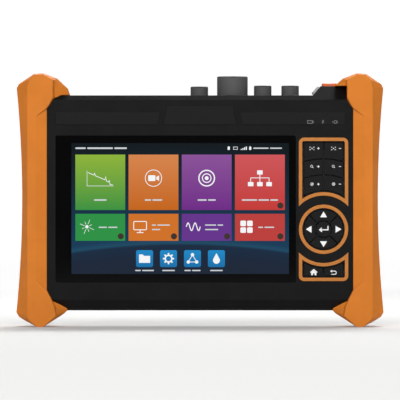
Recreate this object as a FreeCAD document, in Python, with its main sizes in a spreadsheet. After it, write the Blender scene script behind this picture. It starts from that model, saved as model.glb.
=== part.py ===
import FreeCAD, Part
import math
import os
import Sketcher

# Handheld fibre and network tester: black two-part housing between two rubber bumpers, a touch
# screen and a keypad in front, four capped ports, a torch and a power button on top, a tilt stand
# behind. Millimetres. X to the right, Y into the back, Z up. The origin is under the middle,
# on the surface that the bumpers stand on.

VECTOR = FreeCAD.Vector

SIZES = (
    # whole object
    ("overall_width", 264.0, "across both bumpers"),
    ("overall_height", 182.4, "to the top of the bumper ears"),
    ("overall_depth", 48.0, "between the bumper faces"),
    # bumpers
    ("boot_side", 10.0, "rubber outside the end of the housing"),
    ("boot_rise", 3.0, "rubber standing proud of the housing's face"),
    ("boot_reach", 22.0, "width of a bumper seen from the front, between its ears"),
    ("boot_shoulder", 9.0, "depth of the bevel from the bumper's face to its side"),
    ("boot_lip", 3.5, "depth of the steep edge round the bumper's face"),
    ("boot_waist", 4.0, "hollow of the bumper's outer side"),
    ("boot_gap", 0.2, "clearance between the rubber and the housing"),
    ("strip_bevel", 7.9, "width of the sloped strip next to the housing"),
    ("strip_drop", 2.0, "fall of the sloped strip"),
    ("strip_low", 34.1, "lower end of the sloped strip"),
    ("strip_high", 31.4, "upper end of the sloped strip, below the ears' top"),
    ("wing_inset", 26.5, "inner edge of the right bumper beside the hump, from the overall side"),
    ("wing_drop", 19.5, "foot of the hump's notch in the right bumper, below the ears' top"),
    # housing
    ("body_top_drop", 16.0, "ears' top above the housing's top"),
    ("body_bottom", 11.8, "housing's underside above the ground"),
    ("wall", 2.4, "housing wall"),
    ("top_bevel", 3.2, "bevel of the long top edges"),
    ("foot_rise", 7.6, "height of the bevel of the long bottom edges"),
    ("foot_run", 8.0, "depth of the bevel of the long bottom edges"),
    ("body_corner", 14.0, "cut-off corners, inside the bumpers"),
    ("body_edge", 4.0, "bevel of the end edges, inside the bumpers"),
    ("seam_front", 8.0, "parting plane in front of the middle"),
    ("seam_gap", 0.8, "height of the shadow groove along the parting plane"),
    ("seam_groove", 0.5, "depth of the shadow groove"),
    ("seal_width", 1.2, "width of the housing seal"),
    ("seal_depth", 1.6, "depth of the housing seal"),
    # hump with torch and power button
    ("hump_inset", 50.8, "hump's left foot from the overall side"),
    ("hump_run", 5.6, "run of the hump's slope"),
    ("hump_height", 6.7, "hump above the housing's top"),
    ("hump_sink", 3.0, "hump's root inside the housing"),
    ("hump_end", 22.0, "hump's hidden end from the overall side"),
    ("button_inset", 0.9, "power button from the hump's edge"),
    ("button_length", 11.0, "power button along X"),
    ("button_depth", 9.0, "power button along Y"),
    ("button_rise", 2.3, "power button above the hump"),
    ("button_round", 2.0, "power button's corners"),
    ("button_flange", 0.8, "flange that keeps the power button in"),
    ("button_play", 0.25, "gap round the power button"),
    ("lens_length", 7.2, "torch lens along the slope"),
    ("lens_width", 12.0, "torch lens along Y"),
    ("lens_proud", 1.8, "torch lens above the slope"),
    ("lens_seat", 0.9, "torch lens below the slope"),
    ("lens_round", 1.6, "torch lens corners"),
    ("led_side", 3.4, "torch LED package"),
    ("led_thick", 0.9, "torch LED package"),
    # screen
    ("glass_left", 6.3, "glass from the left bumper"),
    ("glass_right", 2.1, "glass from the keypad trim"),
    ("glass_top_drop", 28.9, "glass below the housing's top"),
    ("glass_bottom_rise", 20.0, "glass above the housing's underside"),
    ("glass_thick", 1.1, "touch glass"),
    ("glass_round", 1.2, "touch glass corners"),
    ("view_left", 11.4, "black border on the left"),
    ("view_right", 5.0, "black border on the right"),
    ("view_top", 5.5, "black border on top"),
    ("view_bottom", 6.3, "black border at the bottom"),
    ("panel_margin", 1.4, "display panel beyond the picture"),
    ("panel_thick", 2.6, "display panel"),
    ("window_gap", 0.8, "housing window round the display panel"),
    ("tray_margin", 3.4, "display tray beyond the picture"),
    ("tray_thick", 2.4, "display tray"),
    ("tray_sheet", 0.8, "sheet of the display tray"),
    # title plates
    ("title_rise", 0.5, "title plates above the housing"),
    ("title_low", 21.1, "title plates' lower edge below the housing's top"),
    ("title_high", 12.6, "side plates' upper edge below the housing's top"),
    ("title_crown", 8.2, "middle plate's upper edge below the housing's top"),
    ("title_middle_low", 26.1, "half width of the middle plate at its lower edge"),
    ("title_middle_high", 23.7, "half width of the middle plate at its upper edge"),
    ("title_side_low", 30.4, "start of a side plate at its lower edge"),
    ("title_side_high", 28.8, "start of a side plate at its upper edge"),
    ("title_end", 27.6, "right plate's end from the overall side"),
    ("light_row", 28.4, "start of the indicator windows' row from the right plate's end"),
    ("light_height", 2.9, "indicator windows"),
    ("light_low", 0.5, "indicator windows above the plate's lower edge"),
    ("light_round", 0.6, "indicator windows' corners"),
    # keypad
    ("pad_inset", 21.3, "direction keys' centre from the right bumper"),
    ("pad_share", 0.3777, "height of the direction keys' centre, as a share of the housing's height"),
    ("trim_half", 17.75, "half width of the keypad trim"),
    ("trim_width", 2.45, "width of the trim lines"),
    ("trim_round", 3.8, "outer corners of the trim"),
    ("trim_depth", 1.0, "trim groove"),
    ("trim_proud", 0.3, "trim above the housing"),
    ("trim_arc", 24.2, "radius of the trim frames beside the ring"),
    ("ring_radius", 17.7, "outer radius of the trim ring"),
    ("frame_top_drop", 30.4, "upper frame below the housing's top"),
    ("frame_bottom", 37.2, "lower frame's end below the ring's centre"),
    ("key_rim", 0.8, "housing rim inside the trim"),
    ("key_gap", 0.25, "half gap between two keys"),
    ("key_clear", 0.35, "gap between a key and the housing"),
    ("key_proud", 0.5, "keys above the housing"),
    ("key_thick", 3.7, "keys"),
    ("key_round", 0.7, "corners of the keys"),
    ("key_edge", 0.3, "bevel of the keys' faces"),
    ("enter_radius", 5.7, "enter key"),
    ("stem_radius", 1.4, "stem behind a key"),
    ("stem_length", 1.2, "stem behind a key"),
    ("key_travel", 0.5, "travel of the keys"),
    ("mat_gap", 0.05, "room left before the mat when a key is pressed"),
    ("mat_thick", 0.9, "keypad mat"),
    ("mat_rim", 1.5, "rim of the keypad mat, against the housing"),
    ("dome_radius", 2.2, "dome switches"),
    ("dome_height", 0.3, "dome switches"),
    ("pad_board_thick", 1.2, "keypad board"),
    ("pad_board_inset", 0.8, "keypad board inside the trim's outline"),
    # ports and caps
    ("port_back", 4.0, "ports behind the middle"),
    ("port_pitch_last", 16.1, "last port from the hump"),
    ("port_pitch_third", 19.8, "third port from the last"),
    ("port_pitch_second", 21.9, "second port from the third"),
    ("port_pitch_first", 23.9, "first port from the second"),
    ("small_cap_radius", 6.35, "dust cap"),
    ("small_cap_height", 7.4, "dust cap above the housing"),
    ("laser_cap_height", 6.7, "dust cap of the first port"),
    ("large_cap_radius", 11.1, "dust cap of the second port"),
    ("large_cap_height", 14.0, "dust cap of the second port"),
    ("cap_wall", 1.6, "dust caps"),
    ("cap_edge", 0.5, "bevel of the dust caps"),
    ("cap_lift", 0.3, "dust caps above the housing"),
    ("cap_gap", 0.35, "gap between a dust cap and its port"),
    ("cap_notch", 4.0, "width of the finger notch in a cap"),
    ("cap_notch_depth", 0.7, "depth of the finger notch in a cap"),
    ("cap_notch_height", 0.8, "height of the finger notch in a cap"),
    ("ferrule_radius", 1.25, "bore for a fibre ferrule"),
    ("detector_radius", 5.0, "bore of the power meter port"),
    ("port_flange", 1.5, "port flange under the top wall"),
    ("port_flange_wide", 2.0, "port flange beyond the barrel"),
    ("port_hole_gap", 0.15, "hole in the housing round a barrel"),
    # back
    ("bay_half", 66.0, "half width of the stand's bay"),
    ("bay_low", 22.2, "bay's lower edge above the housing's underside"),
    ("bay_drop", 44.4, "bay's upper edge below the housing's top"),
    ("bay_depth", 6.0, "depth of the bay"),
    ("bay_gap", 0.6, "gap round the stand"),
    ("finger_half", 12.0, "half width of the finger scoop"),
    ("finger_tall", 9.0, "height of the finger scoop"),
    ("stand_thick", 4.4, "tilt stand"),
    ("stand_pivot_drop", 4.0, "stand's pivot below the bay's top"),
    ("stand_short", 2.4, "stand's lower edge above the bay's edge"),
    ("stand_foot_tall", 5.0, "rubber foot of the stand"),
    ("stand_foot_thick", 1.2, "rubber foot of the stand"),
    ("stand_groove", 1.4, "grooves across the stand"),
    ("stand_groove_depth", 0.6, "grooves across the stand"),
    ("stand_groove_pitch", 7.0, "grooves across the stand"),
    ("pin_radius", 1.25, "stand pins"),
    ("pin_length", 7.0, "stand pins"),
    ("pin_play", 0.05, "running clearance of the stand on its pins"),
    ("door_half", 56.0, "half width of the battery door"),
    ("door_drop", 19.0, "battery door below the bay's upper edge"),
    ("door_low", 9.0, "battery door above the bay's edge"),
    ("door_thick", 1.5, "battery door"),
    ("door_ledge", 5.0, "ledge under the battery door"),
    ("door_gap", 0.2, "gap round the battery door"),
    ("battery_thick", 16.0, "battery pack"),
    ("battery_gap", 0.3, "gap between the battery pack and its opening"),
    ("battery_round", 4.0, "battery pack's corners"),
    ("small_screw_radius", 1.0, "battery door screws"),
    ("small_screw_length", 3.2, "battery door screws"),
    ("screw_radius", 1.5, "housing screws"),
    ("screw_length", 13.0, "housing screws under the head"),
    ("screw_head_radius", 2.8, "housing screws"),
    ("screw_head", 1.9, "housing screws"),
    ("screw_play", 0.1, "clearance round a screw"),
    ("screw_seat", 2.0, "seat of a screw head in front of the middle"),
    ("boss_radius", 4.6, "screw bosses"),
    ("screw_well", 3.2, "well over a screw head"),
    ("screw_high_inset", 26.0, "upper screws from the overall side"),
    ("screw_high_drop", 24.4, "upper screws below the housing's top"),
    ("screw_low_inset", 38.0, "lower screws from the overall side"),
    ("screw_low_rise", 15.2, "lower screws above the housing's underside"),
    ("screw_side_inset", 16.0, "middle screws from the overall side, under the bumpers"),
    ("screw_side_rise", 24.0, "middle screws above the direction keys' centre"),
    ("grille_slots", 5, "speaker slots"),
    ("grille_length", 18.0, "speaker slots"),
    ("grille_width", 1.6, "speaker slots"),
    ("grille_pitch", 3.6, "speaker slots"),
    ("grille_inset", 52.0, "centre of the speaker from the overall side"),
    ("grille_drop", 29.0, "centre of the speaker below the housing's top"),
    # inside
    ("board_thick", 1.6, "main board"),
    ("board_front", 6.0, "main board's back face in front of the middle"),
    ("board_inset", 44.0, "main board's end from the overall side"),
    ("board_low", 8.2, "main board above the housing's underside"),
    ("board_drop", 16.4, "main board below the housing's top"),
    ("standoff_radius", 2.6, "board standoffs"),
    ("standoff_inset", 26.0, "board standoffs from the board's ends"),
    ("standoff_margin", 5.0, "board standoffs from the board's long edges"),
    ("shield_side", 40.0, "processor shield"),
    ("shield_tall", 3.0, "processor shield"),
    ("shield_inset", 26.0, "processor shield's centre from the board's left end"),
    ("shield_drop", 48.0, "processor shield's centre below the housing's top"),
    ("module_left", 36.0, "optical module left of the third port"),
    ("module_width", 64.0, "optical module"),
    ("module_gap", 0.6, "optical module above the bay's wall"),
    ("module_thick", 20.0, "optical module"),
    ("module_top_drop", 14.4, "optical module below the housing's top"),
    ("laser_tall", 24.0, "fault laser"),
    ("laser_radius", 6.0, "fault laser"),
    ("speaker_thick", 5.0, "speaker"),
    ("socket_x", -26.0, "network socket's centre"),
    ("socket_width", 16.0, "network socket"),
    ("socket_deep", 13.4, "network socket"),
    ("socket_tall", 18.0, "network socket"),
    ("socket_mouth_width", 11.8, "opening of the network socket"),
    ("socket_mouth_deep", 8.2, "opening of the network socket"),
    ("socket_mouth_tall", 13.0, "opening of the network socket"),
    ("socket_wall", 1.8, "front wall of the network socket"),
    ("socket_latch_width", 6.0, "way for the plug's latch, at the back of the opening"),
    ("socket_latch_deep", 1.5, "way for the plug's latch"),
    ("socket_play", 0.2, "gap between a socket and the housing"),
    ("charge_x", 4.0, "charging socket's centre"),
    ("charge_width", 9.0, "charging socket"),
    ("charge_deep", 3.3, "charging socket"),
    ("charge_tall", 10.4, "charging socket"),
    ("charge_sheet", 0.35, "shell of the charging socket"),
    ("charge_tongue", 0.7, "tongue of the charging socket"),
    ("switch_tall", 3.4, "power switch"),
    ("switch_side", 6.0, "power switch"),
    ("switch_overlap", 10.0, "power switch's board on the main board"),
)

document = FreeCAD.newDocument("fibre_tester")
sheet = document.addObject("Spreadsheet::Sheet", "size")
for row, (alias, number, meaning) in enumerate(SIZES, 1):
    sheet.set(f"A{row}", alias)
    sheet.set(f"B{row}", str(number))
    sheet.set(f"C{row}", meaning)
    sheet.setAlias(f"B{row}", alias)
document.recompute()

# Places that follow from the driving sizes
HALF_WIDTH = "(size.overall_width / 2)"
BODY_HALF = "(size.overall_width / 2 - size.boot_side)"
FACE = "(size.overall_depth / 2 - size.boot_rise)"
BOOT_FACE = "(size.overall_depth / 2)"
INNER_FACE = f"({FACE} - size.wall)"
TOP = "(size.overall_height - size.body_top_drop)"
BOTTOM = "size.body_bottom"
PAD_X = f"({HALF_WIDTH} - size.boot_reach - size.pad_inset)"
PAD_Z = f"({BOTTOM} + size.pad_share * ({TOP} - {BOTTOM}))"
GLASS_X0 = f"(-{HALF_WIDTH} + size.boot_reach + size.glass_left)"
GLASS_X1 = f"({PAD_X} - size.trim_half - size.glass_right)"
GLASS_Z0 = f"({BOTTOM} + size.glass_bottom_rise)"
GLASS_Z1 = f"({TOP} - size.glass_top_drop)"
VIEW_X0 = f"({GLASS_X0} + size.view_left)"
VIEW_X1 = f"({GLASS_X1} - size.view_right)"
VIEW_Z0 = f"({GLASS_Z0} + size.view_bottom)"
VIEW_Z1 = f"({GLASS_Z1} - size.view_top)"
GLASS_BACK = f"({FACE} - size.glass_thick)"
PANEL_BACK = f"({GLASS_BACK} - size.panel_thick)"
TITLE_Z0 = f"({TOP} - size.title_low)"
TITLE_Z1 = f"({TOP} - size.title_high)"
TITLE_Z2 = f"({TOP} - size.title_crown)"
TITLE_X1 = f"({HALF_WIDTH} - size.title_end)"
FRAME_TOP = f"({TOP} - size.frame_top_drop)"
KEY_FRONT = f"({FACE} + size.key_proud)"
KEY_BACK = f"({KEY_FRONT} - size.key_thick)"
STEM_END = f"({KEY_BACK} - size.stem_length)"
MAT_FRONT = f"({STEM_END} - size.key_travel - size.mat_gap)"
MAT_BACK = f"({MAT_FRONT} - size.mat_thick)"
DOME_BACK = f"({MAT_BACK} - size.dome_height)"
KEY_HALF = "(size.trim_half - size.trim_width - size.key_rim - size.key_clear)"
KEY_TOP = f"({FRAME_TOP} - size.trim_width - size.key_rim - size.key_clear)"
KEY_ARC = "(size.trim_arc + size.trim_width + size.key_rim + size.key_clear)"
KEY_FLOOR = f"({PAD_Z} - size.frame_bottom + size.trim_width + size.key_rim + size.key_clear)"
ROW_PITCH = f"(({KEY_TOP} - {PAD_Z} - {KEY_ARC}) / 3)"
PAD_HOLE = "(size.ring_radius - size.trim_width - size.key_rim)"
HUMP_X = f"({HALF_WIDTH} - size.hump_inset)"
HUMP_TOP = f"({TOP} + size.hump_height)"
PORT_4 = f"({HUMP_X} - size.port_pitch_last)"
PORT_3 = f"({PORT_4} - size.port_pitch_third)"
PORT_2 = f"({PORT_3} - size.port_pitch_second)"
PORT_1 = f"({PORT_2} - size.port_pitch_first)"
BAY_Z0 = f"({BOTTOM} + size.bay_low)"
BAY_Z1 = f"({TOP} - size.bay_drop)"
BAY_FLOOR = f"({FACE} - size.bay_depth)"
PIVOT_Y = f"({FACE} - size.bay_depth / 2)"
PIVOT_Z = f"({BAY_Z1} - size.stand_pivot_drop)"
DOOR_Z0 = f"({BAY_Z0} + size.door_low)"
DOOR_Z1 = f"({BAY_Z1} - size.door_drop)"
BOARD_BACK = "(0 - size.board_front)"
BOARD_X = f"({HALF_WIDTH} - size.board_inset)"
BOARD_Z0 = f"({BOTTOM} + size.board_low)"
BOARD_Z1 = f"({TOP} - size.board_drop)"
MODULE_TOP = f"({TOP} - size.module_top_drop)"
GRILLE_X = f"(size.grille_inset - {HALF_WIDTH})"

SCREW_PLACES = [
    (f"{side} * ({HALF_WIDTH} - size.{inset})", height)
    for inset, height in (
        ("screw_high_inset", f"({TOP} - size.screw_high_drop)"),
        ("screw_low_inset", f"({BOTTOM} + size.screw_low_rise)"),
        ("screw_side_inset", f"({PAD_Z} + size.screw_side_rise)"),
    )
    for side in (-1, 1)
]

PLANES = {
    "front": ("XZ_Plane", FreeCAD.Rotation(VECTOR(1, 0, 0), 90), "y", -1),
    "side": ("YZ_Plane", FreeCAD.Rotation(VECTOR(1, 1, 1), 120), "x", 1),
    "top": ("XY_Plane", FreeCAD.Rotation(), "z", 1),
}

PIECES = []


def value(expression):
    """The number that an expression over the size sheet gives."""
    return float(sheet.evalExpression(str(expression)))


def keep(label, thing):
    """Name a finished sub-part and put it on the list of pieces."""
    thing.Label = label
    PIECES.append(thing)
    return thing


# Sketches, pads and cuts

def arc_edge(start, end, radius):
    """Shorter arc between two points; a positive radius has its centre left of the way."""
    chord = end - start
    rise = math.sqrt(max(radius * radius - chord.Length ** 2 / 4, 0.0))
    side = VECTOR(-chord.y, chord.x, 0).normalize() * math.copysign(rise, radius)
    centre = (start + end) * 0.5 + side
    first, last = (start, end) if radius > 0 else (end, start)
    turn_first = math.atan2(first.y - centre.y, first.x - centre.x)
    turn_last = math.atan2(last.y - centre.y, last.x - centre.x)
    circle = Part.Circle(centre, VECTOR(0, 0, 1), abs(radius))
    return Part.ArcOfCircle(circle, turn_first, turn_last)


def fix_point(drawing, edge, spot, x, y):
    """Tie one point of a sketch to the sheet."""
    for kind, expression in (("DistanceX", x), ("DistanceY", y)):
        datum = Sketcher.Constraint(kind, -1, 1, edge, spot, value(expression))
        drawing.setExpression(f"Constraints[{drawing.addConstraint(datum)}]", str(expression))


def draw_loop(drawing, corners):
    """Closed outline of lines and arcs; a corner's third value is the radius to the next."""
    base = drawing.GeometryCount
    count = len(corners)
    spots = [VECTOR(value(corner[0]), value(corner[1]), 0) for corner in corners]
    ends = []
    for number, corner in enumerate(corners):
        start, end = spots[number], spots[(number + 1) % count]
        if len(corner) == 2:
            drawing.addGeometry(Part.LineSegment(start, end), False)
            ends.append((1, 2))
        else:
            radius = value(corner[2])
            drawing.addGeometry(arc_edge(start, end, radius), False)
            ends.append((1, 2) if radius > 0 else (2, 1))
    for number in range(count):
        after = (number + 1) % count
        joint = (base + number, ends[number][1], base + after, ends[after][0])
        drawing.addConstraint(Sketcher.Constraint("Coincident", *joint))
    for number, corner in enumerate(corners):
        fix_point(drawing, base + number, ends[number][0], corner[0], corner[1])
        if len(corner) == 3:
            datum = Sketcher.Constraint("Radius", base + number, abs(value(corner[2])))
            index = drawing.addConstraint(datum)
            drawing.setExpression(f"Constraints[{index}]", f"abs({corner[2]})")


def draw_circle(drawing, x, y, radius):
    """Circle tied to the sheet."""
    edge = drawing.GeometryCount
    centre = VECTOR(value(x), value(y), 0)
    drawing.addGeometry(Part.Circle(centre, VECTOR(0, 0, 1), value(radius)), False)
    fix_point(drawing, edge, 3, x, y)
    index = drawing.addConstraint(Sketcher.Constraint("Radius", edge, value(radius)))
    drawing.setExpression(f"Constraints[{index}]", str(radius))


def sketch(owner, name, plane, loops, offset):
    """Sketch on an origin plane of a body, or free in the document, at an offset along its normal."""
    role, turn, axis, sign = PLANES[plane]
    if owner is None:
        drawing = document.addObject("Sketcher::SketchObject", name)
        drawing.Placement = FreeCAD.Placement(VECTOR(), turn)
        drawing.setExpression(f"Placement.Base.{axis}", f"{sign} * ({offset})")
    else:
        drawing = owner.newObject("Sketcher::SketchObject", name)
        base = next(item for item in owner.Origin.OriginFeatures if item.Role == role)
        drawing.AttachmentSupport = [(base, "")]
        drawing.MapMode = "FlatFace"
        drawing.setExpression("AttachmentOffset.Base.z", str(offset))
    for loop in loops:
        if loop[0] == "circle":
            draw_circle(drawing, *loop[1:])
        else:
            draw_loop(drawing, loop)
    return drawing


def rounded(x0, y0, x1, y1, radius):
    """Rectangle between two corners with rounded corners."""
    return (
        (f"({x0}) + ({radius})", y0),
        (f"({x1}) - ({radius})", y0, radius),
        (x1, f"({y0}) + ({radius})"),
        (x1, f"({y1}) - ({radius})", radius),
        (f"({x1}) - ({radius})", y1),
        (f"({x0}) + ({radius})", y1, radius),
        (x0, f"({y1}) - ({radius})"),
        (x0, f"({y0}) + ({radius})", radius),
    )


def rectangle(x0, y0, x1, y1):
    """Rectangle between two corners."""
    return ((x0, y0), (x1, y0), (x1, y1), (x0, y1))


def prism(name, plane, loops, start, length):
    """Free extrusion from an offset along the plane's normal."""
    solid = document.addObject("Part::Extrusion", name)
    solid.Base = sketch(None, f"{name}_outline", plane, loops, start)
    solid.DirMode = "Normal"
    solid.Solid = True
    solid.FaceMakerClass = "Part::FaceMakerBullseye"
    solid.setExpression("LengthFwd", str(length))
    return solid


def body(name, x="0", y="0", z="0", turn=None):
    """Empty body at a place given by the sheet."""
    result = document.addObject("PartDesign::Body", f"{name}_body")
    if turn is not None:
        result.Placement = FreeCAD.Placement(VECTOR(), turn)
    for axis, expression in (("x", x), ("y", y), ("z", z)):
        result.setExpression(f"Placement.Base.{axis}", str(expression))
    return result


def pad(owner, name, plane, loops, start, length):
    """Add material from an offset along the plane's normal."""
    feature = owner.newObject("PartDesign::Pad", name)
    feature.Profile = sketch(owner, f"{name}_outline", plane, loops, start)
    feature.setExpression("Length", str(length))
    owner.Tip = feature
    return feature


def pocket(owner, name, plane, loops, start, length):
    """Cut from an offset back along the plane's normal."""
    feature = owner.newObject("PartDesign::Pocket", name)
    feature.Profile = sketch(owner, f"{name}_outline", plane, loops, start)
    feature.setExpression("Length", str(length))
    owner.Tip = feature
    return feature


def turned(owner, name, plane, profile):
    """Revolve a profile about the upright axis of its plane."""
    feature = owner.newObject("PartDesign::Revolution", name)
    drawing = sketch(owner, f"{name}_profile", plane, (profile,), "0")
    feature.Profile = drawing
    feature.ReferenceAxis = (drawing, ["V_Axis"])
    feature.Angle = 360
    owner.Tip = feature
    return feature


def edges_where(feature, test):
    """Names of a feature's edges that pass a test."""
    document.recompute()
    return [f"Edge{number}" for number, edge in enumerate(feature.Shape.Edges, 1) if test(edge)]


def along(edge, axis):
    """Whether a straight edge runs along an axis."""
    if edge.Curve.TypeId != "Part::GeomLine":
        return False
    return abs(edge.tangentAt(edge.FirstParameter).dot(axis)) > 0.999


def dress(owner, kind, name, feature, names, expression):
    """Fillet or chamfer the named edges of a feature."""
    result = owner.newObject(f"PartDesign::{kind}", name)
    result.Base = (feature, names)
    result.setExpression("Radius" if kind == "Fillet" else "Size", str(expression))
    owner.Tip = result
    return result


def fused(name, things):
    """One solid from several."""
    result = document.addObject("Part::MultiFuse", name)
    result.Shapes = things
    result.Refine = True
    return result


def common(name, things):
    """What several solids share."""
    result = document.addObject("Part::MultiCommon", name)
    result.Shapes = things
    return result


def cut(name, base, tool):
    """One solid without another."""
    result = document.addObject("Part::Cut", name)
    result.Base = base
    result.Tool = tool
    result.Refine = True
    return result


def group(label, places, master):
    """Separate equal solids at several places, as one sub-part."""
    document.recompute()
    solids = []
    for x, y, z, turn in places:
        place = FreeCAD.Placement(VECTOR(value(x), value(y), value(z)), turn)
        copy = master.Shape.copy()
        copy.Placement = place.multiply(copy.Placement)
        solids.append(copy)
    feature = document.addObject("Part::Feature", f"{label}_set")
    feature.Shape = Part.makeCompound(solids)
    return keep(label, feature)


# Housing

def button_outline(grow):
    """Power button seen from above."""
    start = f"({HUMP_X} + size.hump_run + size.button_inset)"
    return rounded(f"{start} - ({grow})", f"-size.button_depth / 2 - ({grow})",
                   f"{start} + size.button_length + ({grow})", f"size.button_depth / 2 + ({grow})",
                   "size.button_round")


def housing_block(name, grow):
    """The housing's outer form, grown or shrunk all round."""
    face = f"({FACE} + {grow})"
    half = f"({BODY_HALF} + {grow})"
    top = f"({TOP} + {grow})"
    low = f"({BOTTOM} - {grow})"
    profile = (
        (f"-({face}) + size.foot_run", low),
        (f"{face} - size.foot_run", low),
        (face, f"{low} + size.foot_rise"),
        (face, f"{top} - size.top_bevel"),
        (f"{face} - size.top_bevel", top),
        (f"-({face}) + size.top_bevel", top),
        (f"-({face})", f"{top} - size.top_bevel"),
        (f"-({face})", f"{low} + size.foot_rise"),
    )
    front = (
        (f"-({half}) + size.body_corner", low),
        (f"{half} - size.body_corner", low),
        (half, f"{low} + size.body_corner"),
        (half, f"{top} - size.body_corner"),
        (f"{half} - size.body_corner", top),
        (f"-({half}) + size.body_corner", top),
        (f"-({half})", f"{top} - size.body_corner"),
        (f"-({half})", f"{low} + size.body_corner"),
    )
    plan = (
        (f"-({half}) + size.body_edge", f"-({face})"),
        (f"{half} - size.body_edge", f"-({face})"),
        (half, f"-({face}) + size.body_edge"),
        (half, f"{face} - size.body_edge"),
        (f"{half} - size.body_edge", face),
        (f"-({half}) + size.body_edge", face),
        (f"-({half})", f"{face} - size.body_edge"),
        (f"-({half})", f"-({face}) + size.body_edge"),
    )
    slab = common(f"{name}_slab", [
        prism(f"{name}_side", "side", (profile,), f"-({half})", f"2 * ({half})"),
        prism(f"{name}_front", "front", (front,), f"-({face})", f"2 * ({face})"),
        prism(f"{name}_plan", "top", (plan,), low, f"{top} - ({low})"),
    ])
    foot = f"({HUMP_X} - ({grow}) - size.hump_run * size.hump_sink / size.hump_height)"
    brow = f"({HUMP_X} - ({grow}) + size.hump_run)"
    end = f"({HALF_WIDTH} - size.hump_end + ({grow}))"
    hump_front = (
        (foot, f"{top} - size.hump_sink"),
        (end, f"{top} - size.hump_sink"),
        (end, f"{top} + size.hump_height"),
        (brow, f"{top} + size.hump_height"),
    )
    root = f"({face} - size.top_bevel + size.hump_sink)"
    crest = f"({face} - size.top_bevel - size.hump_height)"
    hump_side = (
        (f"-({root})", f"{top} - size.hump_sink"),
        (root, f"{top} - size.hump_sink"),
        (crest, f"{top} + size.hump_height"),
        (f"-({crest})", f"{top} + size.hump_height"),
    )
    hump = common(f"{name}_hump", [
        prism(f"{name}_hump_front", "front", (hump_front,), f"-({face})", f"2 * ({face})"),
        prism(f"{name}_hump_side", "side", (hump_side,), foot, f"{end} - ({foot})"),
    ])
    return fused(name, [slab, hump])


def half_space(name, low, high):
    """Room between two depths, counted from the middle towards the front."""
    box = rectangle(f"-{HALF_WIDTH}", "0", HALF_WIDTH, "size.overall_height")
    return prism(name, "front", (box,), low, f"({high}) - ({low})")


def parting_ring(name, outset, inset, height):
    """Band along the parting line, between two outlines of the housing."""
    outer = housing_block(f"{name}_outer", outset)
    inner = housing_block(f"{name}_inner", inset)
    band = cut(f"{name}_band", outer, inner)
    room = half_space(f"{name}_room", f"size.seam_front - {height} / 2", f"size.seam_front + {height} / 2")
    return common(f"{name}_ring", [band, room])


def keypad_frame(side, half, arc, far, corner):
    """Outline of a keypad block: straight far side, far side's corners round, near side an arc."""
    tip = f"({PAD_Z} + {side} * sqrt(({arc}) ^ 2 - ({half}) ^ 2))"
    end = f"({PAD_Z} + {side} * ({far}))"
    shoulder = f"({end} - {side} * ({corner}))"
    return (
        (f"{PAD_X} - ({half})", tip, f"-1 * {side} * ({arc})"),
        (f"{PAD_X} + ({half})", tip),
        (f"{PAD_X} + ({half})", shoulder, f"{side} * ({corner})"),
        (f"{PAD_X} + ({half}) - ({corner})", end),
        (f"{PAD_X} - ({half}) + ({corner})", end, f"{side} * ({corner})"),
        (f"{PAD_X} - ({half})", shoulder),
    )


def frame_far(side):
    """Distance of a trim frame's straight side from the ring's centre."""
    return f"({FRAME_TOP} - {PAD_Z})" if side > 0 else "size.frame_bottom"


def trim_loops(side):
    """Outer and inner outline of a trim frame."""
    far = frame_far(side)
    outer = keypad_frame(side, "size.trim_half", "size.trim_arc", far, "size.trim_round")
    inner = keypad_frame(side, "size.trim_half - size.trim_width", "size.trim_arc + size.trim_width",
                         f"{far} - size.trim_width", "size.trim_round - size.trim_width")
    return outer, inner


def key_opening(side):
    """Opening in the housing for a block of keys."""
    inset = "(size.trim_width + size.key_rim)"
    return keypad_frame(side, f"size.trim_half - {inset}", f"size.trim_arc + {inset}",
                        f"{frame_far(side)} - {inset}", "0.5")


def pad_circle(radius):
    """Circle round the middle of the direction keys."""
    return ("circle", PAD_X, PAD_Z, radius)


# Start and end of each indicator window along their row
LIGHTS = (("0.8", "5.9"), ("11.2", "13.3"), ("19.2", "22.9"))


def light_loop(start, end):
    """Outline of one indicator window."""
    left = f"({TITLE_X1} - size.light_row)"
    low = f"({TITLE_Z0} + size.light_low)"
    return rounded(f"{left} + {start}", low, f"{left} + {end}", f"{low} + size.light_height",
                   "size.light_round")


def title_loops():
    """Outlines of the three title plates."""
    left = (
        (GLASS_X0, TITLE_Z0), ("-size.title_side_low", TITLE_Z0),
        ("-size.title_side_high", TITLE_Z1), (GLASS_X0, TITLE_Z1),
    )
    middle = (
        ("-size.title_middle_low", TITLE_Z0), ("size.title_middle_low", TITLE_Z0),
        ("size.title_middle_high", TITLE_Z2), ("-size.title_middle_high", TITLE_Z2),
    )
    right = (
        ("size.title_side_low", TITLE_Z0), (TITLE_X1, TITLE_Z0),
        (TITLE_X1, TITLE_Z1), ("size.title_side_high", TITLE_Z1),
    )
    return left, middle, right


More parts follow.
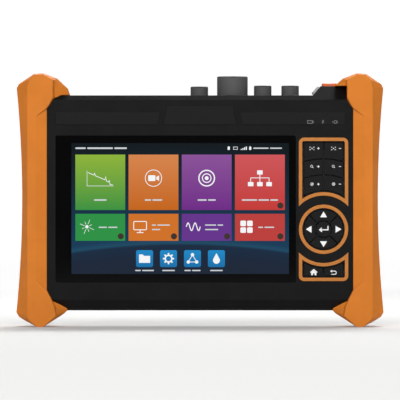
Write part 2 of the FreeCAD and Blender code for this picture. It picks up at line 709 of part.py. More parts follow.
def make_front_housing(outer, cavity, seal, groove):
    """Front shell with window, keypad openings, trim grooves, title plates and screw bosses."""
    raw = common("front_raw", [outer, half_space("front_room", "size.seam_front", BOOT_FACE)])
    shell = cut("front_shell", raw, cavity)
    titles = [prism(f"title_{number}", "front", (loop,), f"{FACE} - 0.1", "size.title_rise + 0.1")
              for number, loop in enumerate(title_loops(), 1)]
    bosses = prism("front_bosses", "front",
                   [("circle", x, z, "size.boss_radius") for x, z in SCREW_PLACES],
                   "size.seam_front", f"{INNER_FACE} - size.seam_front + 0.1")
    solid = fused("front_solid", [shell, bosses] + titles)
    window = rectangle(f"{VIEW_X0} - size.panel_margin - size.window_gap",
                       f"{VIEW_Z0} - size.panel_margin - size.window_gap",
                       f"{VIEW_X1} + size.panel_margin + size.window_gap",
                       f"{VIEW_Z1} + size.panel_margin + size.window_gap")
    glass = rounded(GLASS_X0, GLASS_Z0, GLASS_X1, GLASS_Z1, "size.glass_round")
    through = f"{INNER_FACE} - 1"
    tools = [
        prism("glass_seat", "front", (glass,), GLASS_BACK, "size.glass_thick + 1"),
        prism("screen_window", "front", (window,), through, "size.wall + 2"),
        prism("upper_opening", "front", (key_opening(1),), through, "size.wall + 2"),
        prism("lower_opening", "front", (key_opening(-1),), through, "size.wall + 2"),
        prism("pad_opening", "front", (pad_circle(PAD_HOLE),), through, "size.wall + 2"),
        prism("upper_groove", "front", trim_loops(1), f"{FACE} - size.trim_depth", "size.trim_depth + 1"),
        prism("lower_groove", "front", trim_loops(-1), f"{FACE} - size.trim_depth",
              "size.trim_depth + 1"),
        prism("ring_groove", "front",
              (pad_circle("size.ring_radius"), pad_circle("size.ring_radius - size.trim_width")),
              f"{FACE} - size.trim_depth", "size.trim_depth + 1"),
        prism("light_holes", "front", [light_loop(*light) for light in LIGHTS], through,
              "size.wall + size.title_rise + 2"),
        prism("pilot_holes", "front",
              [("circle", x, z, "size.screw_radius + size.screw_play") for x, z in SCREW_PLACES],
              "size.seam_front - 1", f"{INNER_FACE} - size.seam_front + 0.6"),
        seal,
        groove,
    ]
    keep("front_housing", cut("front_cut", solid, fused("front_tools", tools)))


def make_rear_housing(outer, cavity, seal, groove):
    """Rear shell with stand bay, battery opening, screw wells, grille and port holes."""
    raw = common("rear_raw", [outer, half_space("rear_room", f"-{BOOT_FACE}", "size.seam_front")])
    bay_room = rectangle("-size.bay_half - size.wall", f"{BAY_Z0} - size.finger_tall - size.wall",
                         "size.bay_half + size.wall", f"{BAY_Z1} + size.wall")
    bay_block = prism("bay_block", "front", (bay_room,), f"-{FACE}", "size.bay_depth + size.wall")
    hollow = cut("rear_hollow", cavity, bay_block)
    shell = cut("rear_shell", raw, hollow)
    bosses = prism("rear_bosses", "front",
                   [("circle", x, z, "size.boss_radius") for x, z in SCREW_PLACES],
                   f"-({INNER_FACE} + 0.1)", f"{INNER_FACE} + 0.1 + size.seam_front")
    solid = fused("rear_solid", [shell, bosses])
    bay = rectangle("-size.bay_half", BAY_Z0, "size.bay_half", BAY_Z1)
    scoop = rounded("-size.finger_half", f"{BAY_Z0} - size.finger_tall", "size.finger_half",
                    f"{BAY_Z0} + 4", "2.5")
    door = rounded("-size.door_half", DOOR_Z0, "size.door_half", DOOR_Z1, "2")
    slot = rounded("-size.door_half + size.door_ledge", f"{DOOR_Z0} + size.door_ledge",
                   "size.door_half - size.door_ledge", f"{DOOR_Z1} - size.door_ledge",
                   "size.battery_round")
    grille = []
    for number in range(int(value("size.grille_slots"))):
        middle = (f"({TOP} - size.grille_drop + ({number} - (size.grille_slots - 1) / 2)"
                  " * size.grille_pitch)")
        grille.append(rounded(f"{GRILLE_X} - size.grille_length / 2", f"{middle} - size.grille_width / 2",
                              f"{GRILLE_X} + size.grille_length / 2",
                              f"{middle} + size.grille_width / 2", "size.grille_width / 2 - 0.05"))
    ports = [("circle", place, "size.port_back", f"{radius} + size.port_hole_gap")
             for place, radius in PORT_BARRELS]
    back = f"-{FACE}"
    tools = [
        prism("stand_bay", "front", (bay,), f"{back} - 1", "size.bay_depth + 1"),
        prism("finger_scoop", "front", (scoop,), f"{back} - 1", "size.bay_depth + 1"),
        prism("door_seat", "front", (door,), f"{back} - 1", "size.bay_depth + size.door_thick + 1"),
        prism("battery_slot", "front", (slot,), f"{back} - 1", "size.bay_depth + size.wall + 2"),
        prism("door_pilots", "front",
              [("circle", x, z, "size.small_screw_radius + 0.05") for x, z in DOOR_SCREWS],
              f"{back} - 1", "size.bay_depth + size.wall + 2"),
        prism("grille_slots", "front", grille, f"{back} - 1", "size.wall + 2"),
        prism("screw_wells", "front",
              [("circle", x, z, "size.screw_well") for x, z in SCREW_PLACES],
              f"{back} - 1", f"{FACE} + 1 + size.screw_seat"),
        prism("screw_holes", "front",
              [("circle", x, z, "size.screw_radius + size.screw_play") for x, z in SCREW_PLACES],
              f"{back} - 1", f"{FACE} + 2 + size.seam_front"),
        prism("port_holes", "top", ports, f"{TOP} - size.wall - 1", "size.wall + 2"),
        prism("button_hole", "top", (button_outline("size.button_play"),), f"{HUMP_TOP} - size.wall - 1",
              "size.wall + 2"),
        prism("button_room", "top", (button_outline("size.button_flange + size.button_play"),),
              f"{HUMP_TOP} - size.wall - 3.5", "3.5"),
        prism("pin_holes", "side", (("circle", PIVOT_Y, PIVOT_Z, "size.pin_radius + 0.02"),),
              "-(size.bay_half + size.wall - 0.5)", "2 * (size.bay_half + size.wall - 0.5)"),
        prism("socket_hole", "top", (network_outline("size.socket_play"),), f"{BOTTOM} - 1", "size.wall + 2"),
        prism("charge_hole", "top", (charge_outline("size.socket_play"),), f"{BOTTOM} - 1", "size.wall + 2"),
        lens_cutter(),
        seal,
        groove,
    ]
    keep("rear_housing", cut("rear_cut", solid, fused("rear_tools", tools)))


# Bumpers

# Each corner is given twice, once on the shoulder, where the rubber is widest, and once on the
# face: inset from the overall side, and distance from the top or from the ground. The last value
# is how much of the way to the shoulder the edge has gone at the foot of the steep lip.
EAR_CORNERS = (
    (0.2, 10.9, 8.1, 10.4, 0.39),
    (1.7, 7.9, 9.2, 5.4, 0.39),
    (12.5, 0.6, 13.4, 1.5, 0.39),
    (19.1, 0.0, 19.1, 1.0, 0.39),
    (29.2, 3.8, 26.6, 5.2, 0.15),
    (36.4, 10.6, 26.1, 11.9, 0.12),
    (38.2, 16.0, 26.4, 17.4, 0.12),
    (38.2, 24.4, 23.4, 23.0, 0.06),
    (22.0, 32.4, 22.0, 25.2, 0.06),
)
FOOT_CORNERS = (
    (22.0, 33.0, 22.0, 26.4, 0.06),
    (36.5, 20.0, 24.8, 20.5, 0.06),
    (36.5, 11.8, 27.4, 14.6, 0.12),
    (34.4, 9.6, 28.1, 9.8, 0.12),
    (30.5, 7.0, 28.6, 8.0, 0.15),
    (19.3, 0.0, 19.3, 0.0, 0.39),
    (14.9, 0.0, 14.9, 0.0, 0.39),
    (7.5, 3.7, 10.5, 3.9, 0.39),
    (1.8, 7.2, 8.8, 5.8, 0.39),
    (0.0, 10.5, 8.1, 8.5, 0.39),
)


def boot_outline(level):
    """Bumper outline on its face, at the foot of the lip or on the shoulder."""
    corners = []
    for number, (wide, wide_z, near, near_z, share) in enumerate(EAR_CORNERS + FOOT_CORNERS):
        part = {"face": 0.0, "lip": share, "shoulder": 1.0}[level]
        inset = near + (wide - near) * part
        step = near_z + (wide_z - near_z) * part
        upper = number < len(EAR_CORNERS)
        z = f"size.overall_height - {step}" if upper else f"0 + {step}"
        corners.append((f"-{HALF_WIDTH} + {inset}", z))
    if level != "face":
        part = {"lip": 0.39, "shoulder": 1.0}[level]
        low = value(corners[-1][1])
        x, z = corners[-1]
        chord = f"(({corners[0][1]}) - {low}) / 2"
        bow = f"({part} * size.boot_waist)"
        corners[-1] = (x, z, f"(({chord}) ^ 2 + {bow} ^ 2) / (2 * {bow})")
    return corners


def make_boot_form():
    """Solid form of the left bumper: six outlines from front to back with straight walls."""
    levels = (
        ("shoulder", f"-({BOOT_FACE} - size.boot_shoulder)"),
        ("lip", f"-({BOOT_FACE} - size.boot_lip)"),
        ("face", f"-{BOOT_FACE}"),
    )
    stations = [(level, place) for level, place in reversed(levels)]
    stations += [(level, place[1:]) for level, place in levels]
    sections = [sketch(None, f"boot_section_{number}", "front", (boot_outline(level),), place)
                for number, (level, place) in enumerate(stations, 1)]
    form = document.addObject("Part::Loft", "boot_form")
    form.Sections = sections
    form.Solid = True
    form.Ruled = True
    bevels = []
    slope = "(size.strip_drop / size.strip_bevel)"
    for name, sign in (("front", -1), ("back", 1)):
        ends = []
        for number, over in enumerate(("-1", "size.strip_bevel + 1"), 1):
            x = f"(-{HALF_WIDTH} + size.boot_reach - size.strip_bevel + ({over}))"
            depth = f"({BOOT_FACE} - {slope} * ({over}))"
            loop = rectangle(f"{sign} * ({depth})", f"size.strip_low - ({over})",
                             f"{sign} * ({BOOT_FACE} + 3)",
                             f"size.overall_height - size.strip_high + ({over}) * 0.8")
            ends.append(sketch(None, f"strip_{name}_{number}", "side", (loop,), x))
        bevel = document.addObject("Part::Loft", f"strip_{name}")
        bevel.Sections = ends
        bevel.Solid = True
        bevel.Ruled = True
        bevels.append(bevel)
    return cut("boot_bevelled", form, fused("strip_bevels", bevels))


def make_bumpers():
    """Two rubber bumpers, hollowed by the housing with a small gap."""
    envelope = housing_block("boot_envelope", "size.boot_gap")
    form = make_boot_form()
    keep("left_bumper", cut("left_boot", form, envelope))
    mirrored = document.addObject("Part::Mirroring", "right_form")
    mirrored.Source = form
    mirrored.Normal = VECTOR(1, 0, 0)
    notch = prism("button_notch", "top", (button_outline("2 * size.button_play"),), HUMP_TOP,
                  "size.body_top_drop")
    wing = rectangle(HUMP_X, "size.overall_height - size.wing_drop",
                     f"{HALF_WIDTH} - size.wing_inset", f"{HUMP_TOP} + size.boot_gap")
    room = prism("hump_notch", "front", (wing,), f"-{BOOT_FACE} - 1", "size.overall_depth + 2")
    keep("right_bumper", cut("right_boot", mirrored, fused("right_tools", [envelope, notch, room])))


# Screen

def plate(label, loops, back, front):
    """Flat piece between two depths, counted towards the front."""
    owner = body(label)
    pad(owner, f"{label}_pad", "front", loops, back, f"({front}) - ({back})")
    return keep(label, owner)


def view_loop(margin):
    """Rectangle round the picture area."""
    return rectangle(f"{VIEW_X0} - {margin}", f"{VIEW_Z0} - {margin}",
                     f"{VIEW_X1} + {margin}", f"{VIEW_Z1} + {margin}")


def make_screen():
    """Touch glass, display panel and its folded tray."""
    glass = rounded(f"{GLASS_X0} + 0.1", f"{GLASS_Z0} + 0.1", f"{GLASS_X1} - 0.1", f"{GLASS_Z1} - 0.1",
                    "size.glass_round - 0.1")
    plate("touch_glass", (glass,), GLASS_BACK, FACE)
    plate("display_panel", (view_loop("size.panel_margin"),), PANEL_BACK, GLASS_BACK)
    tray_front = f"min({PANEL_BACK}; {INNER_FACE})"
    tray = body("display_tray")
    pad(tray, "tray_block", "front", (view_loop("size.tray_margin"),),
        f"{tray_front} - size.tray_thick", "size.tray_thick")
    pocket(tray, "tray_hollow", "front", (view_loop("size.tray_margin - size.tray_sheet"),),
           f"{tray_front} - size.tray_sheet", "size.tray_thick")
    keep("display_tray", tray)


# Keypad

def finish_key(label, owner, feature, stem_x, stem_z, cornered=True):
    """Round a key's corners, bevel its face and add its stem."""
    if cornered:
        corners = edges_where(feature, lambda edge: along(edge, VECTOR(0, 1, 0)))
        feature = dress(owner, "Fillet", f"{label}_corners", feature, corners, "size.key_round")
    front = -value(KEY_FRONT)
    rim = edges_where(feature, lambda edge: abs(edge.BoundBox.YMax - front) < 0.001)
    dress(owner, "Chamfer", f"{label}_bevel", feature, rim, "size.key_edge")
    pad(owner, f"{label}_stem", "front", (("circle", stem_x, stem_z, "size.stem_radius"),),
        STEM_END, "size.stem_length")
    return keep(label, owner)


def row_key(label, side, column, inner, outer):
    """Key between two arcs round the direction keys; an outer value of None means the flat end."""
    near, far = ("size.key_gap", KEY_HALF) if column > 0 else (f"0 - {KEY_HALF}", "0 - size.key_gap")

    def height(x, radius):
        return f"{PAD_Z} + {side} * sqrt(({radius}) ^ 2 - ({x}) ^ 2)"

    corners = [
        (f"{PAD_X} + {near}", height(near, inner), f"-1 * {side} * ({inner})"),
        (f"{PAD_X} + {far}", height(far, inner)),
    ]
    if outer is None:
        end = KEY_TOP if side > 0 else KEY_FLOOR
        corners += [(f"{PAD_X} + {far}", end), (f"{PAD_X} + {near}", end)]
    else:
        corners += [
            (f"{PAD_X} + {far}", height(far, outer), f"{side} * ({outer})"),
            (f"{PAD_X} + {near}", height(near, outer)),
        ]
    owner = body(label)
    feature = pad(owner, f"{label}_cap", "front", (corners,), KEY_BACK, "size.key_thick")
    middle = "(" + KEY_ARC + ")" if outer is None and side < 0 else "(" + inner + ")"
    stem_z = f"{PAD_Z} + {side} * ({middle} + {ROW_PITCH if side > 0 else 'size.stem_radius * 2'} / 2)"
    return finish_key(label, owner, feature, f"{PAD_X} + {column} * {KEY_HALF} / 2", stem_z)


def direction_key(label, angle):
    """Quarter of the ring of direction keys, drawn on the right and turned to its place."""
    inner = "(size.enter_radius + 2 * size.key_gap)"
    outer = f"({PAD_HOLE} - size.key_clear)"

    def corner(radius, sign):
        reach = f"sqrt(({radius}) ^ 2 - size.key_gap ^ 2)"
        return (f"({reach} + size.key_gap) / sqrt(2)", f"{sign} * ({reach} - size.key_gap) / sqrt(2)")

    loop = (
        corner(inner, -1),
        corner(outer, -1) + (outer,),
        corner(outer, 1),
        corner(inner, 1) + (f"-1 * {inner}",),
    )
    owner = body(label, PAD_X, "0", PAD_Z, FreeCAD.Rotation(VECTOR(0, 1, 0), angle))
    feature = pad(owner, f"{label}_cap", "front", (loop,), KEY_BACK, "size.key_thick")
    return finish_key(label, owner, feature, f"({inner} + {outer}) / 2", "0")


def make_keypad():
    """Trim inlays, thirteen keys, the mat behind them, the domes and their board."""
    trim_back = f"{FACE} - size.trim_depth"
    trim_front = f"{FACE} + size.trim_proud"
    plate("upper_trim", trim_loops(1), trim_back, trim_front)
    plate("lower_trim", trim_loops(-1), trim_back, trim_front)
    plate("ring_trim", (pad_circle("size.ring_radius"), pad_circle("size.ring_radius - size.trim_width")),
          trim_back, trim_front)
    radii = [f"({KEY_ARC} + {number} * {ROW_PITCH})" for number in range(3)]
    for name, inner, outer in (
        ("iris", radii[0], f"{radii[1]} - 2 * size.key_gap"),
        ("zoom", radii[1], f"{radii[2]} - 2 * size.key_gap"),
        ("focus", radii[2], None),
    ):
        row_key(f"{name}_plus_key", 1, -1, inner, outer)
        row_key(f"{name}_minus_key", 1, 1, inner, outer)
    row_key("home_key", -1, -1, KEY_ARC, None)
    row_key("back_key", -1, 1, KEY_ARC, None)
    for name, angle in (("right", 0), ("down", 90), ("left", 180), ("up", 270)):
        direction_key(f"{name}_key", angle)
    enter = body("enter_key")
    disc = pad(enter, "enter_key_cap", "front", (pad_circle("size.enter_radius"),), KEY_BACK,
               "size.key_thick")
    finish_key("enter_key", enter, disc, PAD_X, PAD_Z, cornered=False)
    board = rounded(f"{PAD_X} - size.trim_half + size.pad_board_inset",
                    f"{PAD_Z} - size.frame_bottom + size.pad_board_inset",
                    f"{PAD_X} + size.trim_half - size.pad_board_inset",
                    f"{FRAME_TOP} - size.pad_board_inset", "2")
    mat = body("keypad_mat")
    pad(mat, "mat_block", "front", (board,), MAT_BACK, f"{INNER_FACE} - {MAT_BACK}")
    hollow = rounded(f"{PAD_X} - size.trim_half + size.pad_board_inset + size.mat_rim",
                     f"{PAD_Z} - size.frame_bottom + size.pad_board_inset + size.mat_rim",
                     f"{PAD_X} + size.trim_half - size.pad_board_inset - size.mat_rim",
                     f"{FRAME_TOP} - size.pad_board_inset - size.mat_rim", "1")
    pocket(mat, "mat_hollow", "front", (hollow,), f"{INNER_FACE} + 1",
           f"{INNER_FACE} + 1 - {MAT_FRONT}")
    keep("keypad_mat", mat)
    plate("keypad_board", (board,), f"{DOME_BACK} - size.pad_board_thick", DOME_BACK)
    document.recompute()
    places = []
    for thing in PIECES:
        if thing.Label.endswith("_key"):
            stem = min(thing.Shape.Faces, key=lambda face: -face.CenterOfMass.y)
            places.append((stem.CenterOfMass.x, stem.CenterOfMass.z))
    dome = Part.makeCylinder(value("size.dome_radius"), value("size.dome_height"), VECTOR(),
                             VECTOR(0, -1, 0))
    domes = document.addObject("Part::Feature", "dome_set")
    depth = -value(DOME_BACK)
    domes.Shape = Part.makeCompound([dome.translated(VECTOR(x, depth, z)) for x, z in places])
    keep("dome_switches", domes)


# Top: ports, caps, torch and power button

PORTS = (
    ("laser_port", PORT_1, "size.small_cap_radius", "size.laser_cap_height", "size.ferrule_radius"),
    ("power_meter_port", PORT_2, "size.large_cap_radius", "size.large_cap_height", "size.detector_radius"),
    ("test_port_1", PORT_3, "size.small_cap_radius", "size.small_cap_height", "size.ferrule_radius"),
    ("test_port_2", PORT_4, "size.small_cap_radius", "size.small_cap_height", "size.ferrule_radius"),
)


def barrel_radius(cap_radius):
    """Barrel that fits inside a dust cap."""
    return f"({cap_radius} - size.cap_wall - size.cap_gap)"


PORT_BARRELS = [(place, barrel_radius(radius)) for _, place, radius, _, _ in PORTS]


def make_ports():
    """Metal port barrels, each under its pull-off dust cap."""
    for label, place, cap_radius, cap_height, bore in PORTS:
        barrel = barrel_radius(cap_radius)
        top = f"({TOP} + {cap_height} - size.cap_wall - size.cap_gap)"
        flange = f"({barrel} + size.port_flange_wide)"
        under = f"({TOP} - size.wall)"
        low = MODULE_TOP
        port = body(label, place, "size.port_back")
        turned(port, f"{label}_form", "front", (
            (bore, low),
            (barrel, low),
            (barrel, f"{under} - size.port_flange"),
            (flange, f"{under} - size.port_flange"),
            (flange, under),
            (barrel, under),
            (barrel, f"{top} - size.cap_edge"),
            (f"{barrel} - size.cap_edge", top),
            (bore, top),
        ))
        keep(label, port)
        inside = f"({cap_radius} - size.cap_wall)"
        low_edge = f"({TOP} + size.cap_lift)"
        crown = f"({TOP} + {cap_height})"
        cap = body(f"{label}_cap", place, "size.port_back")
        turned(cap, f"{label}_cap_form", "front", (
            (inside, low_edge),
            (cap_radius, low_edge),
            (cap_radius, f"{crown} - size.cap_edge"),
            (f"{cap_radius} - size.cap_edge", crown),
            ("0", crown),
            ("0", f"{crown} - size.cap_wall"),
            (inside, f"{crown} - size.cap_wall"),
        ))
        notch = rectangle("-size.cap_notch / 2", f"{crown} - size.cap_edge - size.cap_notch_height",
                          "size.cap_notch / 2", f"{crown} - size.cap_edge")
        pocket(cap, f"{label}_cap_notch", "front", (notch,), f"{cap_radius} + 1",
               "size.cap_notch_depth + 1")
        keep(f"{label}_cap", cap)


def slope_turn():
    """Turn that lays a piece on the hump's slope, its own Z pointing out of it."""
    angle = math.degrees(math.atan2(value("size.hump_height"), value("size.hump_run")))
    return FreeCAD.Rotation(VECTOR(0, 1, 0), -angle)


def slope_middle(axis):
    """Middle of the hump's slope."""
    return f"({HUMP_X} + size.hump_run / 2)" if axis == "x" else f"({TOP} + size.hump_height / 2)"


def lens_loop(grow):
    """Outline of the torch lens on its slope."""
    return rounded(f"-size.lens_length / 2 - {grow}", f"-size.lens_width / 2 - {grow}",
                   f"size.lens_length / 2 + {grow}", f"size.lens_width / 2 + {grow}", "size.lens_round")


def lens_cutter():
    """Seat of the torch lens and the light's way through the wall."""
    owner = body("lens_seat", slope_middle("x"), "size.port_back", slope_middle("z"), slope_turn())
    pad(owner, "lens_seat_pad", "top", (lens_loop("0.1"),), "-size.lens_seat", "size.lens_seat + 2")
    pad(owner, "lens_way", "top", (("circle", "0", "0", "size.led_side / 2"),), "-size.wall * 2",
        "size.wall * 2")
    return owner


def make_top():
    """Torch lens, its LED, the power button and the switch under it."""
    turn = slope_turn()
    x, z = slope_middle("x"), slope_middle("z")
    lens = body("torch_lens", x, "size.port_back", z, turn)
    block = pad(lens, "lens_pad", "top", (lens_loop("0"),), "-size.lens_seat",
                "size.lens_seat + size.lens_proud")
    rim = edges_where(block, lambda edge: edge.BoundBox.ZMin > value("size.lens_proud") - 0.001)
    dress(lens, "Fillet", "lens_rim", block, rim, "size.lens_proud / 2")
    keep("torch_lens", lens)
    led = body("torch_led", x, "size.port_back", z, turn)
    depth = "(size.lens_seat + 0.1)"
    pad(led, "led_pad", "top", (("circle", "0", "0", "size.led_side / 2 - 0.1"),),
        f"-{depth} - size.led_thick", "size.led_thick")
    keep("torch_led", led)
    button = body("power_button")
    cap = pad(button, "button_cap", "top", (button_outline("0"),),
              f"{HUMP_TOP} - size.wall - 0.3", "size.button_rise + size.wall + 0.3")
    crown = value(f"{HUMP_TOP} + size.button_rise")
    rim = edges_where(cap, lambda edge: edge.BoundBox.ZMin > crown - 0.001)
    dress(button, "Fillet", "button_rim", cap, rim, "size.button_flange")
    pad(button, "button_flange", "top", (button_outline("size.button_flange"),),
        f"{HUMP_TOP} - size.wall - 0.3 - size.button_flange", "size.button_flange")
    keep("power_button", button)
    middle = f"({HUMP_X} + size.hump_run + size.button_inset + size.button_length / 2)"
    crown = f"({HUMP_TOP} - size.wall - 0.3 - size.button_flange - 0.9)"
    switch = body("power_switch")
    neck, foot = f"{middle} - size.switch_side / 2", f"{BOARD_Z1} - size.switch_overlap"
    board = (
        (f"{BOARD_X} - size.switch_overlap", foot),
        (f"{middle} + size.switch_side / 2", foot),
        (f"{middle} + size.switch_side / 2", f"{crown} - 0.5"),
        (neck, f"{crown} - 0.5"),
        (neck, f"{BOARD_Z1} + 5"),
        (f"{BOARD_X} - size.switch_overlap", f"{BOARD_Z1} + 5"),
    )
    pad(switch, "switch_board", "front", (board,), "size.board_front - size.board_thick",
        "size.board_thick")
    box = rectangle(f"{middle} - size.switch_side / 2", f"{crown} - size.switch_tall",
                    f"{middle} + size.switch_side / 2", crown)
    pad(switch, "switch_box", "front", (box,), "0 - size.switch_side / 2",
        "size.switch_side / 2 + size.board_front - size.board_thick")
    keep("power_switch", switch)


def make_lights():
    """Three light pipes through the right title plate."""
    back = f"({INNER_FACE} - 0.4)"
    keep("indicator_windows", prism("light_pipes", "front", [light_loop(*light) for light in LIGHTS],
                                    back, f"{FACE} + size.title_rise - {back}"))


# Back: stand, battery, screws

DOOR_SCREWS = [(f"{side} * (size.door_half - size.door_ledge / 2)", f"(({DOOR_Z0} + {DOOR_Z1}) / 2)")
               for side in (-1, 1)]


def make_stand():
    """Tilt stand with grooved face, its rubber foot and its two pins."""
    half = "(size.bay_half - size.bay_gap)"
    low = f"({BAY_Z0} + size.stand_short)"
    inner = f"({PIVOT_Y} - size.stand_thick / 2)"
    outer = f"({PIVOT_Y} + size.stand_thick / 2)"
    knuckle = "(size.stand_thick / 2 - 0.05)"
    profile = (
        (inner, low),
        (outer, low),
        (outer, PIVOT_Z),
        (f"{outer} - 0.05", PIVOT_Z, knuckle),
        (PIVOT_Y, f"{PIVOT_Z} + {knuckle}", knuckle),
        (f"{inner} + 0.05", PIVOT_Z),
        (inner, PIVOT_Z),
    )
    stand = body("tilt_stand")
    pad(stand, "stand_plate", "side", (profile,), f"-{half}", f"2 * {half}")
    grooves = []
    count = int(value(f"({BAY_Z1} - {BAY_Z0} - 30) / size.stand_groove_pitch"))
    for number in range(count):
        middle = f"({low} + 14 + {number} * size.stand_groove_pitch)"
        grooves.append(rectangle(f"{outer} - size.stand_groove_depth", f"{middle} - size.stand_groove / 2",
                                 f"{outer} + 1", f"{middle} + size.stand_groove / 2"))
    pocket(stand, "stand_grooves", "side", grooves, f"{half} - 12", f"2 * ({half} - 12)")
    for name, start in (("left", f"-{half} + size.pin_length - 1"), ("right", half)):
        pocket(stand, f"stand_bore_{name}", "side",
               (("circle", PIVOT_Y, PIVOT_Z, "size.pin_radius + size.pin_play"),), start,
               "size.pin_length - 1")
    seat = rectangle("-30", low, "30", f"{low} + size.stand_foot_tall")
    pocket(stand, "stand_foot_seat", "front", (seat,), f"-({outer} - size.stand_foot_thick / 2)",
           "size.stand_foot_thick")
    keep("tilt_stand", stand)
    plate("stand_foot", (rectangle("-29.9", f"{low}", "29.9",
                                   f"{low} + size.stand_foot_tall - 0.1"),),
          f"-({outer} + 0.2)", f"-({outer} - size.stand_foot_thick / 2)")
    rod = Part.makeCylinder(value("size.pin_radius"), value("size.pin_length"), VECTOR(), VECTOR(1, 0, 0))
    y, z = value(PIVOT_Y), value(PIVOT_Z)
    reach = value("size.bay_half + size.wall - 0.5")
    pins = document.addObject("Part::Feature", "pin_set")
    pins.Shape = Part.makeCompound([
        rod.translated(VECTOR(-reach, y, z)),
        rod.translated(VECTOR(reach - value("size.pin_length"), y, z)),
    ])
    keep("stand_pins", pins)


def screw_master(name, radius, length, head_radius, head):
    """Pan-head screw along Y, its seat at the origin and its cross recess behind."""
    screw = body(name)
    turned(screw, f"{name}_form", "top", (
        ("0", f"-({length})"),
        (f"{radius} * 0.7", f"-({length})"),
        (radius, f"-({length}) + {radius} * 0.5"),
        (radius, "0"),
        (head_radius, "0"),
        (head_radius, f"{head} * 0.6"),
        (f"{head_radius} * 0.7", head),
        ("0", head),
    ))
    arm, half = f"{head_radius} * 0.55", f"{head_radius} * 0.13"
    cross = (
        (f"-({half})", f"-({arm})"), (half, f"-({arm})"), (half, f"-({half})"), (arm, f"-({half})"),
        (arm, half), (half, half), (half, arm), (f"-({half})", arm),
        (f"-({half})", half), (f"-({arm})", half), (f"-({arm})", f"-({half})"), (f"-({half})", f"-({half})"),
    )
    recess = screw.newObject("PartDesign::Pocket", f"{name}_recess")
    recess.Profile = sketch(screw, f"{name}_cross", "front", (cross,), f"-({head} + 1)")
    recess.Reversed = True
    recess.setExpression("Length", f"{head} * 0.6 + 1")
    screw.Tip = recess
    return screw


def make_back():
    """Battery pack, its door, and the screws of door and housing."""
    door_loop = rounded("-size.door_half + size.door_gap", f"{DOOR_Z0} + size.door_gap",
                        "size.door_half - size.door_gap", f"{DOOR_Z1} - size.door_gap", "2")
    door_face = f"-({BAY_FLOOR})"
    plate("battery_door",
          [door_loop] + [("circle", x, z, "size.small_screw_radius + size.screw_play")
                         for x, z in DOOR_SCREWS],
          door_face, f"{door_face} + size.door_thick")
    inset = "(size.door_ledge + size.battery_gap)"
    pack = rounded(f"-size.door_half + {inset}", f"{DOOR_Z0} + {inset}", f"size.door_half - {inset}",
                   f"{DOOR_Z1} - {inset}", "size.battery_round")
    pack_back = f"({door_face} + size.door_thick + 0.2)"
    battery = body("battery_pack")
    block = pad(battery, "battery_block", "front", (pack,), pack_back, "size.battery_thick")
    upright = edges_where(block, lambda edge: edge.BoundBox.YLength < 0.001)
    dress(battery, "Fillet", "battery_edges", block, upright, "size.battery_round / 4")
    keep("battery_pack", battery)
    still = FreeCAD.Rotation()
    small = screw_master("door_screw", "size.small_screw_radius", "size.small_screw_length",
                         "size.small_screw_radius * 1.8", "size.small_screw_radius * 0.6")
    group("battery_door_screws", [(x, BAY_FLOOR, z, still) for x, z in DOOR_SCREWS], small)
    large = screw_master("housing_screw", "size.screw_radius", "size.screw_length",
                         "size.screw_head_radius", "size.screw_head")
    group("housing_screws", [(x, "-size.screw_seat", z, still) for x, z in SCREW_PLACES], large)


# Inside

def network_outline(grow):
    """Network socket seen from below."""
    back = BOARD_BACK
    return rectangle(f"size.socket_x - size.socket_width / 2 - {grow}", f"{back} - {grow}",
                     f"size.socket_x + size.socket_width / 2 + {grow}",
                     f"{back} + size.socket_deep + {grow}")


def charge_outline(grow):
    """Charging socket seen from below."""
    middle = f"({BOARD_BACK} + size.charge_deep / 2)"
    return rounded(f"size.charge_x - size.charge_width / 2 - {grow}",
                   f"{middle} - size.charge_deep / 2 - {grow}",
                   f"size.charge_x + size.charge_width / 2 + {grow}",
                   f"{middle} + size.charge_deep / 2 + {grow}", f"size.charge_deep / 2 - 0.1 + {grow}")


def make_sockets():
    """Network socket and charging socket in the underside."""
    network = body("network_socket")
    pad(network, "network_block", "top", (network_outline("0"),), BOTTOM, "size.socket_tall")
    mouth = rectangle("size.socket_x - size.socket_mouth_width / 2",
                      f"{BOARD_BACK} + size.socket_wall",
                      "size.socket_x + size.socket_mouth_width / 2",
                      f"{BOARD_BACK} + size.socket_wall + size.socket_mouth_deep")
    pocket(network, "network_mouth", "top", (mouth,), f"{BOTTOM} + size.socket_mouth_tall",
           "size.socket_mouth_tall")
    mouth_back = f"({BOARD_BACK} + size.socket_wall + size.socket_mouth_deep)"
    latch = rectangle("size.socket_x - size.socket_latch_width / 2", f"{mouth_back} - 1",
                      "size.socket_x + size.socket_latch_width / 2",
                      f"{mouth_back} + size.socket_latch_deep")
    pocket(network, "latch_way", "top", (latch,), f"{BOTTOM} + size.socket_mouth_tall",
           "size.socket_mouth_tall")
    keep("network_socket", network)
    charge = body("charge_socket")
    pad(charge, "charge_block", "top", (charge_outline("0"),), BOTTOM, "size.charge_tall")
    pocket(charge, "charge_mouth", "top",
           (charge_outline("(0 - size.charge_sheet)"),), f"{BOTTOM} + size.charge_tall - 1",
           "size.charge_tall - 1")
    middle = f"({BOARD_BACK} + size.charge_deep / 2)"
    tongue = rectangle("size.charge_x - size.charge_width / 4", f"{middle} - size.charge_tongue / 2",
                       "size.charge_x + size.charge_width / 4", f"{middle} + size.charge_tongue / 2")
    pad(charge, "charge_tongue", "top", (tongue,), f"{BOTTOM} + 1", "size.charge_tall - 1.5")
    keep("charge_socket", charge)


